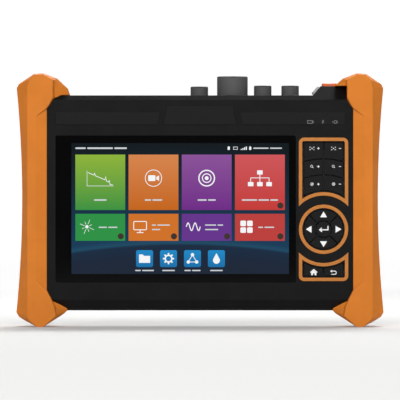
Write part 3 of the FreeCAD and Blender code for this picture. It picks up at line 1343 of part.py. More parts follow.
def make_inside():
    """Boards and modules."""
    front = "size.board_front + size.board_thick"
    board = rounded(f"-{BOARD_X}", BOARD_Z0, BOARD_X, BOARD_Z1, "3")
    plate("main_board", (board,), "size.board_front", front)
    spots = [(f"{side} * ({BOARD_X} - size.standoff_inset)", edge)
             for side in (-1, 1)
             for edge in (f"{BOARD_Z0} + size.standoff_margin", f"{BOARD_Z1} - size.standoff_margin")]
    post = Part.makeCylinder(value("size.standoff_radius"), value(f"{INNER_FACE} - ({front})"),
                             VECTOR(0, -value(front), 0), VECTOR(0, -1, 0))
    feature = document.addObject("Part::Feature", "standoff_set")
    feature.Shape = Part.makeCompound([post.translated(VECTOR(value(x), 0, value(z))) for x, z in spots])
    keep("board_standoffs", feature)
    shield_x = f"(size.shield_inset - {BOARD_X})"
    shield_z = f"({TOP} - size.shield_drop)"
    plate("processor_shield",
          (rounded(f"{shield_x} - size.shield_side / 2", f"{shield_z} - size.shield_side / 2",
                   f"{shield_x} + size.shield_side / 2", f"{shield_z} + size.shield_side / 2", "2"),),
          "size.board_front - size.shield_tall", "size.board_front")
    left = f"({PORT_3} - size.module_left)"
    low = f"{BAY_Z1} + size.wall + size.module_gap"
    plate("optical_module",
          (rounded(left, low, f"{left} + size.module_width", MODULE_TOP, "2"),),
          "size.board_front - size.module_thick", "size.board_front")
    laser = body("fault_laser", PORT_1, "size.port_back")
    turned(laser, "laser_form", "front", (
        ("0", f"{MODULE_TOP} - size.laser_tall"),
        ("size.laser_radius", f"{MODULE_TOP} - size.laser_tall"),
        ("size.laser_radius", MODULE_TOP),
        ("0", MODULE_TOP),
    ))
    keep("fault_laser", laser)
    speaker_z = f"({TOP} - size.grille_drop)"
    plate("speaker",
          (rounded(f"{GRILLE_X} - size.grille_length / 2 - 2", f"{speaker_z} - 10",
                   f"{GRILLE_X} + size.grille_length / 2 + 2", f"{speaker_z} + 10", "4"),),
          f"-{INNER_FACE}", f"-{INNER_FACE} + size.speaker_thick")


# Build, check and write

outer_block = housing_block("housing_outer", "0")
inner_block = housing_block("housing_cavity", "(0 - size.wall)")
seal = parting_ring("seal", "(0 - (size.wall - size.seal_width) / 2)",
                    "(0 - (size.wall + size.seal_width) / 2)", "size.seal_depth")
groove = parting_ring("seam", "size.seam_groove", "(0 - size.seam_groove)", "size.seam_gap")
make_front_housing(outer_block, inner_block, seal, groove)
make_rear_housing(outer_block, inner_block, seal, groove)
keep("housing_seal", seal)
make_bumpers()
make_screen()
make_keypad()
make_ports()
make_top()
make_lights()
make_stand()
make_back()
make_sockets()
make_inside()
document.recompute()

failed = [thing.Name for thing in document.Objects if {"Invalid", "Error"} & set(thing.State)]
if failed:
    raise RuntimeError(f"these objects did not build: {failed}")
for piece in PIECES:
    if piece.Shape.isNull() or not piece.Shape.isValid():
        raise RuntimeError(f"{piece.Label} has no valid shape")
os.makedirs("parts", exist_ok=True)
for piece in PIECES:
    piece.Shape.exportStep(f"parts/{piece.Label}.step")
print(f"{len(PIECES)} sub-parts written")
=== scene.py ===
# Looks of a handheld fibre tester: rubber bumpers, moulded housing, touch screen with a lit tile
# menu, printed keypad, dust caps over threaded ports, torch, power button, sockets.
# Metres in the object's frame: X to the right, Y into the back, Z up. Outlines on the front are
# written in millimetres as (x, z), and depths as millimetres forward of the middle.
import math
import bpy
import bmesh
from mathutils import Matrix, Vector


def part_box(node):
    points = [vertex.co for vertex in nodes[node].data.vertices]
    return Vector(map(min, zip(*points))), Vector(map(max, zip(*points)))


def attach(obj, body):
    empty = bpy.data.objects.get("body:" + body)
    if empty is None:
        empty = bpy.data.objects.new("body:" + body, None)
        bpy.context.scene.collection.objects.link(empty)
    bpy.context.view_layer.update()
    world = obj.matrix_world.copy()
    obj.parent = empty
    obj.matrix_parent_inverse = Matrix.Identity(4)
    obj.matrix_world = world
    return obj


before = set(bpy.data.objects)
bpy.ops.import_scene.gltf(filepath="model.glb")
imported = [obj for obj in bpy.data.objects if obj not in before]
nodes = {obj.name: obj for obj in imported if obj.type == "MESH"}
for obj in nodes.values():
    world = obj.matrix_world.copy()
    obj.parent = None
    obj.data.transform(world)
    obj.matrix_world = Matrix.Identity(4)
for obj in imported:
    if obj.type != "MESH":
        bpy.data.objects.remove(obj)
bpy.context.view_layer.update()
MM = 0.001


# Small tools

def linear(code):
    """Linear colour from an sRGB hex code."""
    levels = [int(code[start:start + 2], 16) / 255 for start in (0, 2, 4)]
    return tuple(c / 12.92 if c <= 0.04045 else ((c + 0.055) / 1.055) ** 2.4 for c in levels) + (1.0,)


def add(tree, kind, settings=None, inputs=None):
    """A node with its settings; each input is a value or the output that feeds it."""
    item = tree.nodes.new(kind)
    for key, setting in (settings or {}).items():
        setattr(item, key, setting)
    for key, given in (inputs or {}).items():
        if isinstance(given, bpy.types.NodeSocket):
            tree.links.new(given, item.inputs[key])
        else:
            item.inputs[key].default_value = given
    return item


def span(node):
    """A node's box in millimetres: left, right, back, front, bottom, top, depths counted forward."""
    low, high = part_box(node)
    return (low.x / MM, high.x / MM, -high.y / MM, -low.y / MM, low.z / MM, high.z / MM)


def face_centre(node):
    """Middle of a node seen from the front, as (x, z) in millimetres."""
    left, right, _, _, low, high = span(node)
    return (left + right) / 2, (low + high) / 2


def top_centre(node):
    """Middle of a node seen from above, as (x, y) in millimetres."""
    left, right, back, front, _, _ = span(node)
    return (left + right) / 2, -(back + front) / 2


def settle(name, mesh, body):
    """Object from a finished mesh, riding on a body."""
    piece = bpy.data.objects.new(name, mesh)
    bpy.context.scene.collection.objects.link(piece)
    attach(piece, body)


# Finishes; sizes, depths and roundings are in millimetres

def finish(name, base, roughness, **sockets):
    """Material on a Principled shader with even values set on its sockets."""
    material = bpy.data.materials.new(name)
    material.use_nodes = True
    tree = material.node_tree
    shader = tree.nodes["Principled BSDF"]
    shader.inputs["Base Color"].default_value = linear(base)
    shader.inputs["Roughness"].default_value = roughness
    for key, level in sockets.items():
        shader.inputs[key.replace("_", " ")].default_value = level
    return material, tree, shader


def mottled(tree, shader, first, second, size, low=0.4, high=0.6):
    """Base colour that drifts between two hex colours in patches of a size."""
    place = add(tree, "ShaderNodeTexCoord")
    cloud = add(tree, "ShaderNodeTexNoise", None,
                {"Vector": place.outputs["Object"], "Scale": 1 / (size * MM), "Detail": 3.0})
    mix = add(tree, "ShaderNodeMix", {"data_type": "RGBA"}, {
        0: add(tree, "ShaderNodeMapRange", None, {
            "Value": cloud.outputs["Fac"], "From Min": low, "From Max": high}).outputs["Result"],
        6: linear(first), 7: linear(second)})
    tree.links.new(mix.outputs[2], shader.inputs["Base Color"])
    return mix


def grained(tree, shader, size, depth, rounding=0.0, spread=0.0):
    """Moulded grain of a size and depth, with rounded edges and a roughness that drifts by a spread."""
    place = add(tree, "ShaderNodeTexCoord")
    grain = add(tree, "ShaderNodeTexNoise", None,
                {"Vector": place.outputs["Object"], "Scale": 1 / (size * MM), "Detail": 2.0})
    relief = {"Height": grain.outputs["Fac"], "Strength": 1.0, "Distance": depth * MM}
    if rounding:
        edge = add(tree, "ShaderNodeBevel", {"samples": 6}, {"Radius": rounding * MM})
        relief["Normal"] = edge.outputs["Normal"]
    bump = add(tree, "ShaderNodeBump", None, relief)
    tree.links.new(bump.outputs["Normal"], shader.inputs["Normal"])
    if spread:
        middle = shader.inputs["Roughness"].default_value
        # the drift's patches are about 17 mm across
        drift = add(tree, "ShaderNodeTexNoise", None,
                    {"Vector": place.outputs["Object"], "Scale": 60.0, "Detail": 4.0})
        level = add(tree, "ShaderNodeMapRange", None, {
            "Value": drift.outputs["Fac"], "From Min": 0.3, "From Max": 0.7,
            "To Min": middle - spread, "To Max": middle + spread})
        tree.links.new(level.outputs["Result"], shader.inputs["Roughness"])


def moulded_rubber():
    """Thermoplastic rubber, moulded: dull orange with faint clouding and a fine spark grain."""
    material, tree, shader = finish("moulded_thermoplastic_rubber", "D27925", 0.6, IOR=1.5,
                                    Specular_IOR_Level=0.2)
    mottled(tree, shader, "CF7724", "D57B27", size=16.0)
    grained(tree, shader, size=0.45, depth=0.03, rounding=0.7, spread=0.05)
    return material


def moulded_abs(name, plates=None):
    """ABS, moulded in a spark-eroded tool: near-black satin with a fine even grain.

    Plates that stand proud of the front are rubbed a little lighter, where their colour is given.
    """
    material, tree, shader = finish(name, "0A0A0B", 0.45, IOR=1.5, Specular_IOR_Level=0.15)
    clouds = mottled(tree, shader, "080808", "0C0C0D", size=14.0)
    grained(tree, shader, size=0.4, depth=0.012, rounding=0.35, spread=0.04)
    if plates:
        face, step = span("touch_glass")[3], 0.3
        place = add(tree, "ShaderNodeTexCoord")
        split = add(tree, "ShaderNodeSeparateXYZ", None, {"Vector": place.outputs["Object"]})
        raised = add(tree, "ShaderNodeMath", {"operation": "LESS_THAN"},
                     {0: split.outputs["Y"], 1: -(face + step) * MM})
        mix = add(tree, "ShaderNodeMix", {"data_type": "RGBA"},
                  {0: raised.outputs[0], 6: clouds.outputs[2], 7: linear(plates)})
        tree.links.new(mix.outputs[2], shader.inputs["Base Color"])
    return material


def cap_rubber():
    """Soft PVC, dip moulded: a grey-black base colour, painted lighter than the black rubber so that the
    front light draws a painted broad satin highlight.
    """
    # painted highlight: the light grey base colour stands in for the caps' shine under the front light
    material, tree, shader = finish("dip_moulded_pvc", "585859", 0.45, IOR=1.52, Specular_IOR_Level=0.15)
    grained(tree, shader, size=0.6, depth=0.008, rounding=0.4, spread=0.03)
    return material


def trim_inlay():
    """Two-shot moulded inlay: satin orange, a little browner than the bumpers."""
    material, tree, shader = finish("two_shot_inlay", "BE7630", 0.5, IOR=1.5, Specular_IOR_Level=0.3)
    mottled(tree, shader, "BB742F", "C17832", size=6.0)
    grained(tree, shader, size=0.35, depth=0.01, rounding=0.15)
    return material


def key_silicone():
    """Silicone key caps with a polyurethane coat: black, slightly glossier than the housing."""
    material, tree, shader = finish("coated_silicone", "101011", 0.4, IOR=1.45, Specular_IOR_Level=0.2)
    grained(tree, shader, size=0.4, depth=0.006, rounding=0.2, spread=0.03)
    return material


def cover_glass():
    """Coated float glass over a black print: deep black, mirror smooth, with faint reflections."""
    material, tree, shader = finish("black_backed_glass", "030304", 0.05, IOR=1.5,
                                    Specular_IOR_Level=0.12)
    # faint smears about 33 mm across
    smear = add(tree, "ShaderNodeTexNoise", None, {
        "Vector": add(tree, "ShaderNodeTexCoord").outputs["Object"], "Scale": 30.0, "Detail": 5.0})
    level = add(tree, "ShaderNodeMapRange", None, {
        "Value": smear.outputs["Fac"], "From Min": 0.4, "From Max": 0.7, "To Min": 0.04, "To Max": 0.09})
    tree.links.new(level.outputs["Result"], shader.inputs["Roughness"])
    return material


def glossy_button():
    """Polished acrylic button: red-orange with a clear deep gloss."""
    material, tree, shader = finish("polished_acrylic", "E06C38", 0.16, IOR=1.49, Coat_Weight=0.6,
                                    Coat_Roughness=0.06)
    grained(tree, shader, size=2.5, depth=0.01, rounding=0.4)
    return material


def frosted_lens():
    """Polycarbonate light window over a silvered bowl: milky silver with fine ribs."""
    material, tree, shader = finish("ribbed_polycarbonate", "B9BCBF", 0.22, IOR=1.58,
                                    Coat_Weight=0.5, Coat_Roughness=0.05)
    place = add(tree, "ShaderNodeTexCoord")
    # at this scale the ribs are 1 mm apart
    ribs = add(tree, "ShaderNodeTexWave", {"bands_direction": "Y"},
               {"Vector": place.outputs["Object"], "Scale": 320.0, "Distortion": 0.0})
    bump = add(tree, "ShaderNodeBump", None,
               {"Height": ribs.outputs["Fac"], "Strength": 1.0, "Distance": 0.05 * MM})
    tree.links.new(bump.outputs["Normal"], shader.inputs["Normal"])
    return material


def plated(name, base, roughness):
    """Plated or bare metal with fine turning marks round the upright axis."""
    material, tree, shader = finish(name, base, roughness, Metallic=1.0)
    place = add(tree, "ShaderNodeTexCoord")
    # marks about 25 mm long round the axis and 0.4 mm apart along it
    stretch = add(tree, "ShaderNodeMapping", None,
                  {"Vector": place.outputs["Object"], "Scale": (40.0, 40.0, 2600.0)})
    marks = add(tree, "ShaderNodeTexNoise", None,
                {"Vector": stretch.outputs["Vector"], "Scale": 1.0, "Detail": 2.0})
    bump = add(tree, "ShaderNodeBump", None,
               {"Height": marks.outputs["Fac"], "Strength": 1.0, "Distance": 0.01 * MM})
    tree.links.new(bump.outputs["Normal"], shader.inputs["Normal"])
    return material


def solder_mask():
    """Glass-epoxy board under green solder mask: mottled green with a low gloss."""
    material, tree, shader = finish("solder_masked_board", "1C5A34", 0.4, IOR=1.5, Coat_Weight=0.3)
    mottled(tree, shader, "18502E", "20643A", size=1.6, low=0.45, high=0.55)
    grained(tree, shader, size=0.5, depth=0.01)
    return material


def even_coat(name, code, roughness=0.5):
    """Screen-printed ink or a small moulding: even colour with a faint fine grain."""
    material, tree, shader = finish(name, code, roughness, IOR=1.5)
    grained(tree, shader, size=0.2, depth=0.002)
    return material


ABS = moulded_abs("moulded_abs")
HOUSING = moulded_abs("moulded_abs_housing", plates="121213")
RUBBER = moulded_rubber()
CAP = cap_rubber()
TRIM = trim_inlay()
KEY = key_silicone()
GLASS = cover_glass()
BUTTON = glossy_button()
LENS = frosted_lens()
# nickel is bright and warm, zinc cool grey, blackened steel dark with a soft shine, gold bright and
# yellow, aluminium pale satin
NICKEL = plated("nickel_plated_brass", "B9B7B0", 0.24)
STEEL = plated("zinc_plated_steel", "A9ABAF", 0.32)
DARK_STEEL = plated("blackened_steel", "3A3A3D", 0.4)
GOLD = plated("gold_plated_bronze", "D9AE58", 0.22)
ALUMINIUM = plated("milled_aluminium", "B9BBBE", 0.36)
BOARD = solder_mask()
# silicone is dull grey, shrink wrap a blue-black film, the smoked light pipe near-black and glossy,
# the inks flat, ceramic ivory white with a soft gloss, the seal dull black, phosphor pale yellow
SILICONE = even_coat("grey_silicone", "83858A", 0.6)
WRAP = even_coat("shrink_wrap", "22262C", 0.35)
SMOKED = even_coat("smoked_light_pipe", "1E1E1F", 0.2)
WHITE_INK = even_coat("white_screen_print", "F2F2F2")
GREY_INK = even_coat("grey_screen_print", "6E6E70")
CERAMIC = even_coat("zirconia_sleeve", "E6E4DE", 0.25)
SEAL = even_coat("epdm_cord", "1D1D1E", 0.7)
LAMP = even_coat("led_phosphor", "EDE3B4", 0.4)

CARRIED = {
    HOUSING: ("front_housing",),
    ABS: ("rear_housing", "tilt_stand", "battery_door", "network_socket"),
    RUBBER: ("left_bumper", "right_bumper"),
    CAP: ("laser_port_cap", "power_meter_port_cap", "test_port_1_cap", "test_port_2_cap"),
    TRIM: ("upper_trim", "ring_trim", "lower_trim"),
    KEY: tuple(name for name in nodes if name.endswith("_key")),
    GLASS: ("touch_glass", "display_panel"),
    BUTTON: ("power_button",),
    LENS: ("torch_lens",),
    NICKEL: ("laser_port", "power_meter_port", "test_port_1", "test_port_2"),
    STEEL: ("display_tray", "dome_switches", "stand_pins", "charge_socket", "board_standoffs",
            "processor_shield", "fault_laser", "speaker"),
    DARK_STEEL: ("battery_door_screws", "housing_screws"),
    ALUMINIUM: ("optical_module",),
    BOARD: ("keypad_board", "main_board", "power_switch"),
    SILICONE: ("keypad_mat",),
    WRAP: ("battery_pack",),
    SMOKED: ("indicator_windows",),
    SEAL: ("housing_seal", "stand_foot"),
    LAMP: ("torch_led",),
}
for material, names in CARRIED.items():
    for name in names:
        for place in nodes[name].material_slots:
            place.material = material


# Outlines as lists of patches, in millimetres

def bow(cx, cz, radius, start, end, steps):
    """Points on an arc, angles in degrees from +x."""
    turns = [math.radians(start + (end - start) * step / steps) for step in range(steps + 1)]
    return [(cx + radius * math.cos(turn), cz + radius * math.sin(turn)) for turn in turns]


def box_outline(x0, z0, x1, z1, radius=0.0):
    """Rectangle with rounded corners."""
    corner_steps = 5
    if radius <= 0:
        return [[(x0, z0), (x1, z0), (x1, z1), (x0, z1)]]
    points = []
    for cx, cz, turn in ((x1 - radius, z0 + radius, -90), (x1 - radius, z1 - radius, 0),
                         (x0 + radius, z1 - radius, 90), (x0 + radius, z0 + radius, 180)):
        points += bow(cx, cz, radius, turn, turn + 90, corner_steps)
    return [points]


def disc(cx, cz, radius, steps=28):
    """Full circle."""
    return [bow(cx, cz, radius, 0, 360 - 360 / steps, steps - 1)]


def stroke(points, width, closed=False):
    """Line of even width along points, as one four-cornered patch for each stretch.

    At a very sharp corner the patches reach out no further than the full width.
    """
    least_cosine = 0.5
    count = len(points)
    sides = []
    for number in range(count):
        before = points[number - 1] if closed or number else points[number]
        after = points[(number + 1) % count] if closed or number < count - 1 else points[number]
        here = Vector(points[number])
        entry = (here - Vector(before)).normalized() if Vector(before) != here else None
        leave = (Vector(after) - here).normalized() if Vector(after) != here else None
        entry, leave = entry or leave, leave or entry
        mean = (entry + leave).normalized()
        across = Vector((-mean.y, mean.x))
        stretch = max(least_cosine, across.dot(Vector((-leave.y, leave.x))))
        sides.append((here + across * width / 2 / stretch, here - across * width / 2 / stretch))
    patches = []
    for number in range(count if closed else count - 1):
        (a, b), (c, d) = sides[number], sides[(number + 1) % count]
        patches.append([tuple(b), tuple(d), tuple(c), tuple(a)])
    return patches


def ring(cx, cz, radius, width, steps=36):
    """Circle line of even width."""
    return stroke(bow(cx, cz, radius, 0, 360 - 360 / steps, steps - 1), width, closed=True)


def rays(count, first_turn, start, ends, width):
    """Short lines that point away from (0, 0), their outer ends at the given radii in turn."""
    patches = []
    for number in range(count):
        turn = math.radians(360 / count * number + first_turn)
        end = ends[number % len(ends)]
        patches += stroke([(start * math.cos(turn), start * math.sin(turn)),
                           (end * math.cos(turn), end * math.sin(turn))], width)
    return patches


def moved(patches, x, z):
    """The same patches with their (0, 0) at a place."""
    return [[(px + x, pz + z) for px, pz in patch] for patch in patches]


def bar_row(x, z, lengths, height, gap=1):
    """Plain round-ended bars in a row, from its left end."""
    roundness = 0.45
    patches = []
    for length in lengths:
        patches += box_outline(x, z - height / 2, x + length, z + height / 2, height * roundness)
        x += length + gap
    return patches


def centred_bars(x, z, lengths, height, gap=1):
    """The same row, about its middle."""
    width = sum(lengths) + gap * (len(lengths) - 1)
    return bar_row(x - width / 2, z, lengths, height, gap)


def plate(name, patches, back, front, material, body):
    """Thin solid from outlines on the front, between two depths, riding on a body."""
    mesh = bpy.data.meshes.new(name)
    shape = bmesh.new()
    for patch in patches:
        near = [shape.verts.new((x * MM, -front * MM, z * MM)) for x, z in patch]
        far = [shape.verts.new((x * MM, -back * MM, z * MM)) for x, z in patch]
        shape.faces.new(near)
        shape.faces.new(list(reversed(far)))
        for number in range(len(patch)):
            after = (number + 1) % len(patch)
            shape.faces.new((near[after], near[number], far[number], far[after]))
    bmesh.ops.recalc_face_normals(shape, faces=shape.faces)
    bmesh.ops.triangulate(shape, faces=[face for face in shape.faces if len(face.verts) > 4])
    shape.to_mesh(mesh)
    shape.free()
    mesh.materials.append(material)
    settle(name, mesh, body)


# Lit picture on the screen

GLASS_LEFT, GLASS_RIGHT, _, GLASS_FACE, GLASS_LOW, GLASS_HIGH = span("touch_glass")
# the black print is 11.3 mm wide left of the picture, 4.9 right, 6.2 below and 5.4 above
VIEW = (GLASS_LEFT + 11.3, GLASS_RIGHT - 4.9, GLASS_LOW + 6.2, GLASS_HIGH - 5.4)
# thickness of each layer of the picture, and the strength of its light
LAYER = 0.012
GLOW = 1.0


def lit_panel(name, top, bottom, z_top, z_bottom):
    """Liquid crystal picture behind glass: one colour running into another from top to bottom."""
    material, tree, shader = finish(name, "020202", 0.06, IOR=1.5, Specular_IOR_Level=0.12)
    place = add(tree, "ShaderNodeTexCoord")
    split = add(tree, "ShaderNodeSeparateXYZ", None, {"Vector": place.outputs["Object"]})
    run = add(tree, "ShaderNodeMapRange", None, {
        "Value": split.outputs["Z"], "From Min": z_bottom * MM, "From Max": z_top * MM})
    mix = add(tree, "ShaderNodeMix", {"data_type": "RGBA"},
              {0: run.outputs["Result"], 6: linear(bottom), 7: linear(top)})
    tree.links.new(mix.outputs[2], shader.inputs["Emission Color"])
    shader.inputs["Emission Strength"].default_value = GLOW
    return material


def lit_sky():
    """Wallpaper of the lit picture: night blue with a thin curved horizon, darker again above it."""
    material, tree, shader = finish("lit_night_wallpaper", "020202", 0.06, IOR=1.5,
                                    Specular_IOR_Level=0.12)
    # the horizon is a flattened arc about a point below the picture; the colours run between two radii
    left, right, low, _ = VIEW
    drop, flatness, inner, outer = 236.0, 0.72, 228.0, 330.0
    centre = ((left + right) / 2 * MM, 0.0, (low - drop) * MM)
    place = add(tree, "ShaderNodeTexCoord")
    away = add(tree, "ShaderNodeVectorMath", {"operation": "SUBTRACT"},
               {0: place.outputs["Object"], 1: centre})
    flat = add(tree, "ShaderNodeVectorMath", {"operation": "MULTIPLY"},
               {0: away.outputs["Vector"], 1: (flatness, 0.0, 1.0)})
    reach = add(tree, "ShaderNodeVectorMath", {"operation": "LENGTH"}, {0: flat.outputs["Vector"]})
    level = add(tree, "ShaderNodeMapRange", None, {
        "Value": reach.outputs["Value"], "From Min": inner * MM, "From Max": outer * MM})
    ramp = add(tree, "ShaderNodeValToRGB", None, {"Fac": level.outputs["Result"]})
    stops = ((0.0, "1C2430"), (0.2, "1B273A"), (0.28, "1A2C42"), (0.297, "1F4A64"), (0.33, "183B57"),
             (0.5, "16344A"), (0.75, "162632"), (1.0, "121A1F"))
    ends = ramp.color_ramp.elements
    for stop, (position, code) in ((ends[0], stops[0]), (ends[1], stops[-1])):
        stop.position = position
        stop.color = linear(code)
    for position, code in stops[1:-1]:
        ends.new(position).color = linear(code)
    tree.links.new(ramp.outputs["Color"], shader.inputs["Emission Color"])
    shader.inputs["Emission Strength"].default_value = GLOW
    return material


def lit(name, patches, level, material):
    """Part of the lit picture; each level lies a hair above the one below."""
    base = GLASS_FACE + (level - 1) * LAYER
    plate(name, patches, base, base + LAYER, material, "housing")


def trace_sign():
    """Reflection trace that falls in steps over its axes."""
    axes = [(-9.5, 5.2), (-9.5, -5.6), (9.5, -5.6)]
    trace = [(-8.8, 4), (-4.6, 2.2), (-4.1, 3.6), (-3.5, 1.7), (3.4, -1.2), (3.9, 1.2), (4.5, -2.2),
             (6, -2.8), (6.5, -1.6), (7, -4.6), (9, -4.9)]
    return stroke(axes, 0.3) + stroke(trace, 0.45)


def camera_sign():
    """Camera with its hood, in a circle."""
    body = box_outline(-3.8, -2.1, 1.4, 2.1, 0.7)
    hood = [[(2.0, -0.8), (4.0, -2.0), (4.0, 2.0), (2.0, 0.8)]]
    return ring(0, 0, 5.9, 0.5) + body + hood


def lens_sign():
    """Lens seen from the front."""
    return ring(0, 0, 5.6, 0.9) + ring(0, 0, 3.1, 0.7) + disc(0, 0, 1.4)


def socket_tree_sign():
    """One socket above, joined by lines to three below."""
    away, half, low, high = 6.6, 2, -5.8, -2.8
    patches = box_outline(-half, 2.6, half, 5.6, 0.4)
    patches += stroke([(0, 2.6), (0, high)], 0.5)
    patches += stroke([(-away, high), (-away, 0.2), (away, 0.2), (away, high)], 0.5)
    for x in (-away, 0, away):
        patches += box_outline(x - half, low, x + half, high, 0.4)
    return patches


def light_sign():
    """Point of light with long and short rays."""
    return disc(0, 0, 1.2) + rays(8, 22.5, 1.8, (3.8, 5.4), 0.32)


def monitor_sign():
    """Monitor on a foot."""
    screen = stroke(box_outline(-4.6, -2.2, 4.6, 3.8, 0.8)[0], 0.6, closed=True)
    return screen + stroke([(0, -2.4), (0, -4)], 0.6) + stroke([(-2.4, -4.2), (2.4, -4.2)], 0.6)


def wave_sign():
    """Two full waves."""
    half_width, height, wave, step = 5, 2.8, 5, 0.5
    return stroke([(number * step - half_width, height * math.sin(number * step * math.tau / wave))
                   for number in range(21)], 0.7)


def squares_sign():
    """Four small squares."""
    starts, side = (-4.4, 0.4), 4
    patches = []
    for x in starts:
        for z in starts:
            patches += box_outline(x, z, x + side, z + side, 0.8)
    return patches


def folder_sign():
    """Folder with its tab at the left."""
    return [[(-4, -3), (4, -3), (4, 2), (-0.4, 2), (-1.2, 3), (-4, 3)]]


def gear_sign():
    """Gear wheel with eight teeth."""
    return ring(0, 0, 2.4, 1.0, 24) + rays(8, 0, 2.7, (4.0,), 1.1)


def link_sign():
    """Three points joined by lines."""
    corners = [(0, 2.8), (-3, -2.4), (3, -2.4)]
    points = [disc(x, z, 1.2)[0] for x, z in corners]
    return points + stroke(corners, 0.5, closed=True)


def drop_sign():
    """Drop of water."""
    return [bow(0, -1.2, 2.5, -220, 40, 16) + [(0, 4)]]


def menu_tiles(white, pale):
    """Two rows of coloured tiles with plain pictograms, bars and dark badges."""
    left, _, low, high = VIEW
    width, pitch = 35.8, 38.2
    starts = [left + 2.8 + pitch * number for number in range(4)]
    tall_low, tall_high = low + 45.9, high - 8.2
    short_low, short_high = low + 23.8, low + 43.2
    colours = (("green", "8DB33A", "3A9141", "2E9145"), ("orange", "D6844D", "C4651A", "CF7128"),
               ("purple", "8A5298", "6E2B86", "65358B"), ("red", "CD565A", "C33C38", "BB403D"))
    for (name, top, bottom, plain), x in zip(colours, starts):
        lit(f"menu_tile_tall_{name}", box_outline(x, tall_low, x + width, tall_high), 2,
            lit_panel(f"lit_{name}_tall", top, bottom, tall_high, tall_low))
        lit(f"menu_tile_short_{name}", box_outline(x, short_low, x + width, short_high), 2,
            lit_panel(f"lit_{name}_short", plain, plain, short_high, short_low))
    tall_middle, short_middle = (tall_low + tall_high) / 2, (short_low + short_high) / 2
    sign_lift, small_sign_shift, small_sign_lift = 3, 8.3, 0.4
    marks = []
    for sign, x in zip((trace_sign, camera_sign, lens_sign, socket_tree_sign), starts):
        marks += moved(sign(), x + width / 2, tall_middle + sign_lift)
    for sign, x in zip((light_sign, monitor_sign, wave_sign, squares_sign), starts):
        marks += moved(sign(), x + small_sign_shift, short_middle + small_sign_lift)
    lit("menu_pictograms", marks, 3, white)
    bar_height, bar_lift, small_bar_height, small_bar_shift, line_step = 1.1, 7.2, 0.9, 16.7, 3.2
    bars = []
    for x, lengths in zip(starts, ((9,), (4.5, 7), (6.5, 5.5), (11, 7.5, 5.5))):
        bars += centred_bars(x + width / 2, tall_low + bar_lift, lengths, bar_height)
    for x, lines in zip(starts, (((6, 6.5),), ((3, 9), (6,)), ((8, 4), (9.5,)), ((3.5, 7),))):
        first = short_middle + line_step / 2 * (len(lines) - 1)
        for number, lengths in enumerate(lines):
            bars += bar_row(x + small_bar_shift, first - line_step * number, lengths, small_bar_height)
    lit("menu_word_bars", bars, 3, pale)
    inset, radius = 3.2, 2.2
    badges = disc(starts[-1] + width - inset, tall_low + inset, radius)
    for x in starts:
        badges += disc(x + width - inset, short_low + inset, radius)
    lit("menu_badges", badges, 3, lit_panel("lit_shade", "40332E", "40332E", high, low))


def menu_buttons(white):
    """Four small blue buttons under the tiles; gives the bars that lie below them."""
    left, _, low, _ = VIEW
    first, base, side, pitch, corner = left + 46.4, low + 4.9, 12.2, 17.2, 1.4
    bar_drop, bar_height = 2.4, 0.9
    squares, marks, bars = [], [], []
    for number, (sign, lengths) in enumerate(((folder_sign, (4, 8.5)), (gear_sign, (9,)),
                                              (link_sign, (4.5, 6)), (drop_sign, (9,)))):
        x = first + number * pitch
        squares += box_outline(x, base, x + side, base + side, corner)
        marks += moved(sign(), x + side / 2, base + side / 2)
        bars += centred_bars(x + side / 2, base - bar_drop, lengths, bar_height)
    lit("menu_buttons", squares, 2, lit_panel("lit_blue", "2189C6", "176FA9", base + side, base))
    lit("menu_button_marks", marks, 3, white)
    return bars


def status_line(white):
    """Card, window, signal and battery marks in the top line; gives the bars at its two ends."""
    left, right, _, high = VIEW
    z = high - 3.6
    marks = box_outline(-44, -1.2, -42.4, 1.2, 0.3)
    marks += stroke(box_outline(-39.8, -0.9, -37, 0.9)[0], 0.3, closed=True)
    signal, pitch, side = -34.6, 1.2, 0.8
    for number in range(4):
        x = signal + number * pitch
        marks += box_outline(x, -1.2, x + side, number * 0.6 - 0.6)
    marks += box_outline(-28.6, -1.2, -27, 0.9, 0.3) + box_outline(-28.2, 0.9, -27.4, 1.3)
    lit("status_marks", moved(marks, right, z), 2, white)
    return bar_row(right - 25.6, z, (11, 8.6), 0.9) + bar_row(left + 2.8, z, (7.5, 18.5, 9), 1.2)


def lit_picture():
    """Wallpaper, tiles, buttons and status line of the lit screen."""
    left, right, low, high = VIEW
    lit("wallpaper", box_outline(left, low, right, high), 1, lit_sky())
    white = lit_panel("lit_white", "F4F6F8", "F4F6F8", high, low)
    pale = lit_panel("lit_pale", "CDD2D6", "CDD2D6", high, low)
    menu_tiles(white, pale)
    button_bars = menu_buttons(white)
    lit("line_bars", status_line(white) + button_bars, 2, pale)


# Screen print on the keys and beside the indicators, as thick as a rich pass of ink

PRINT = 0.02


def key_mark(name, node, patches):
    """White print on a key's face, riding on that key."""
    face = span(node)[3]
    plate(name, patches, face, face + PRINT, WHITE_INK, node)


def minus_sign():
    """Short level line."""
    return stroke([(-0.85, 0), (0.85, 0)], 0.42)


def plus_sign():
    """The same line with an upright one through it."""
    return minus_sign() + stroke([(0, 0.21), (0, 0.85)], 0.42) + stroke([(0, -0.85), (0, -0.21)], 0.42)


def bracket_sign():
    """Four corner brackets round a dot."""
    patches = []
    for dx, dz in ((-1, -1), (1, -1), (1, 1), (-1, 1)):
        patches += stroke([(dx * 1.5, dz * 0.45), (dx * 1.5, dz), (dx * 0.8, dz)], 0.28)
    return patches + disc(0, 0, 0.42, 14)


def magnifier_sign():
    """Magnifier with its handle at the lower right."""
    return ring(-0.3, 0.25, 0.75, 0.28, 20) + stroke([(0.3, -0.35), (1.0, -1.05)], 0.38)


def aperture_sign():
    """Ring round a six-sided opening."""
    opening = [(0.5 * math.cos(math.tau * n / 6), 0.5 * math.sin(math.tau * n / 6)) for n in range(6)]
    return ring(0, 0, 1.0, 0.26, 24) + stroke(opening, 0.24, closed=True)


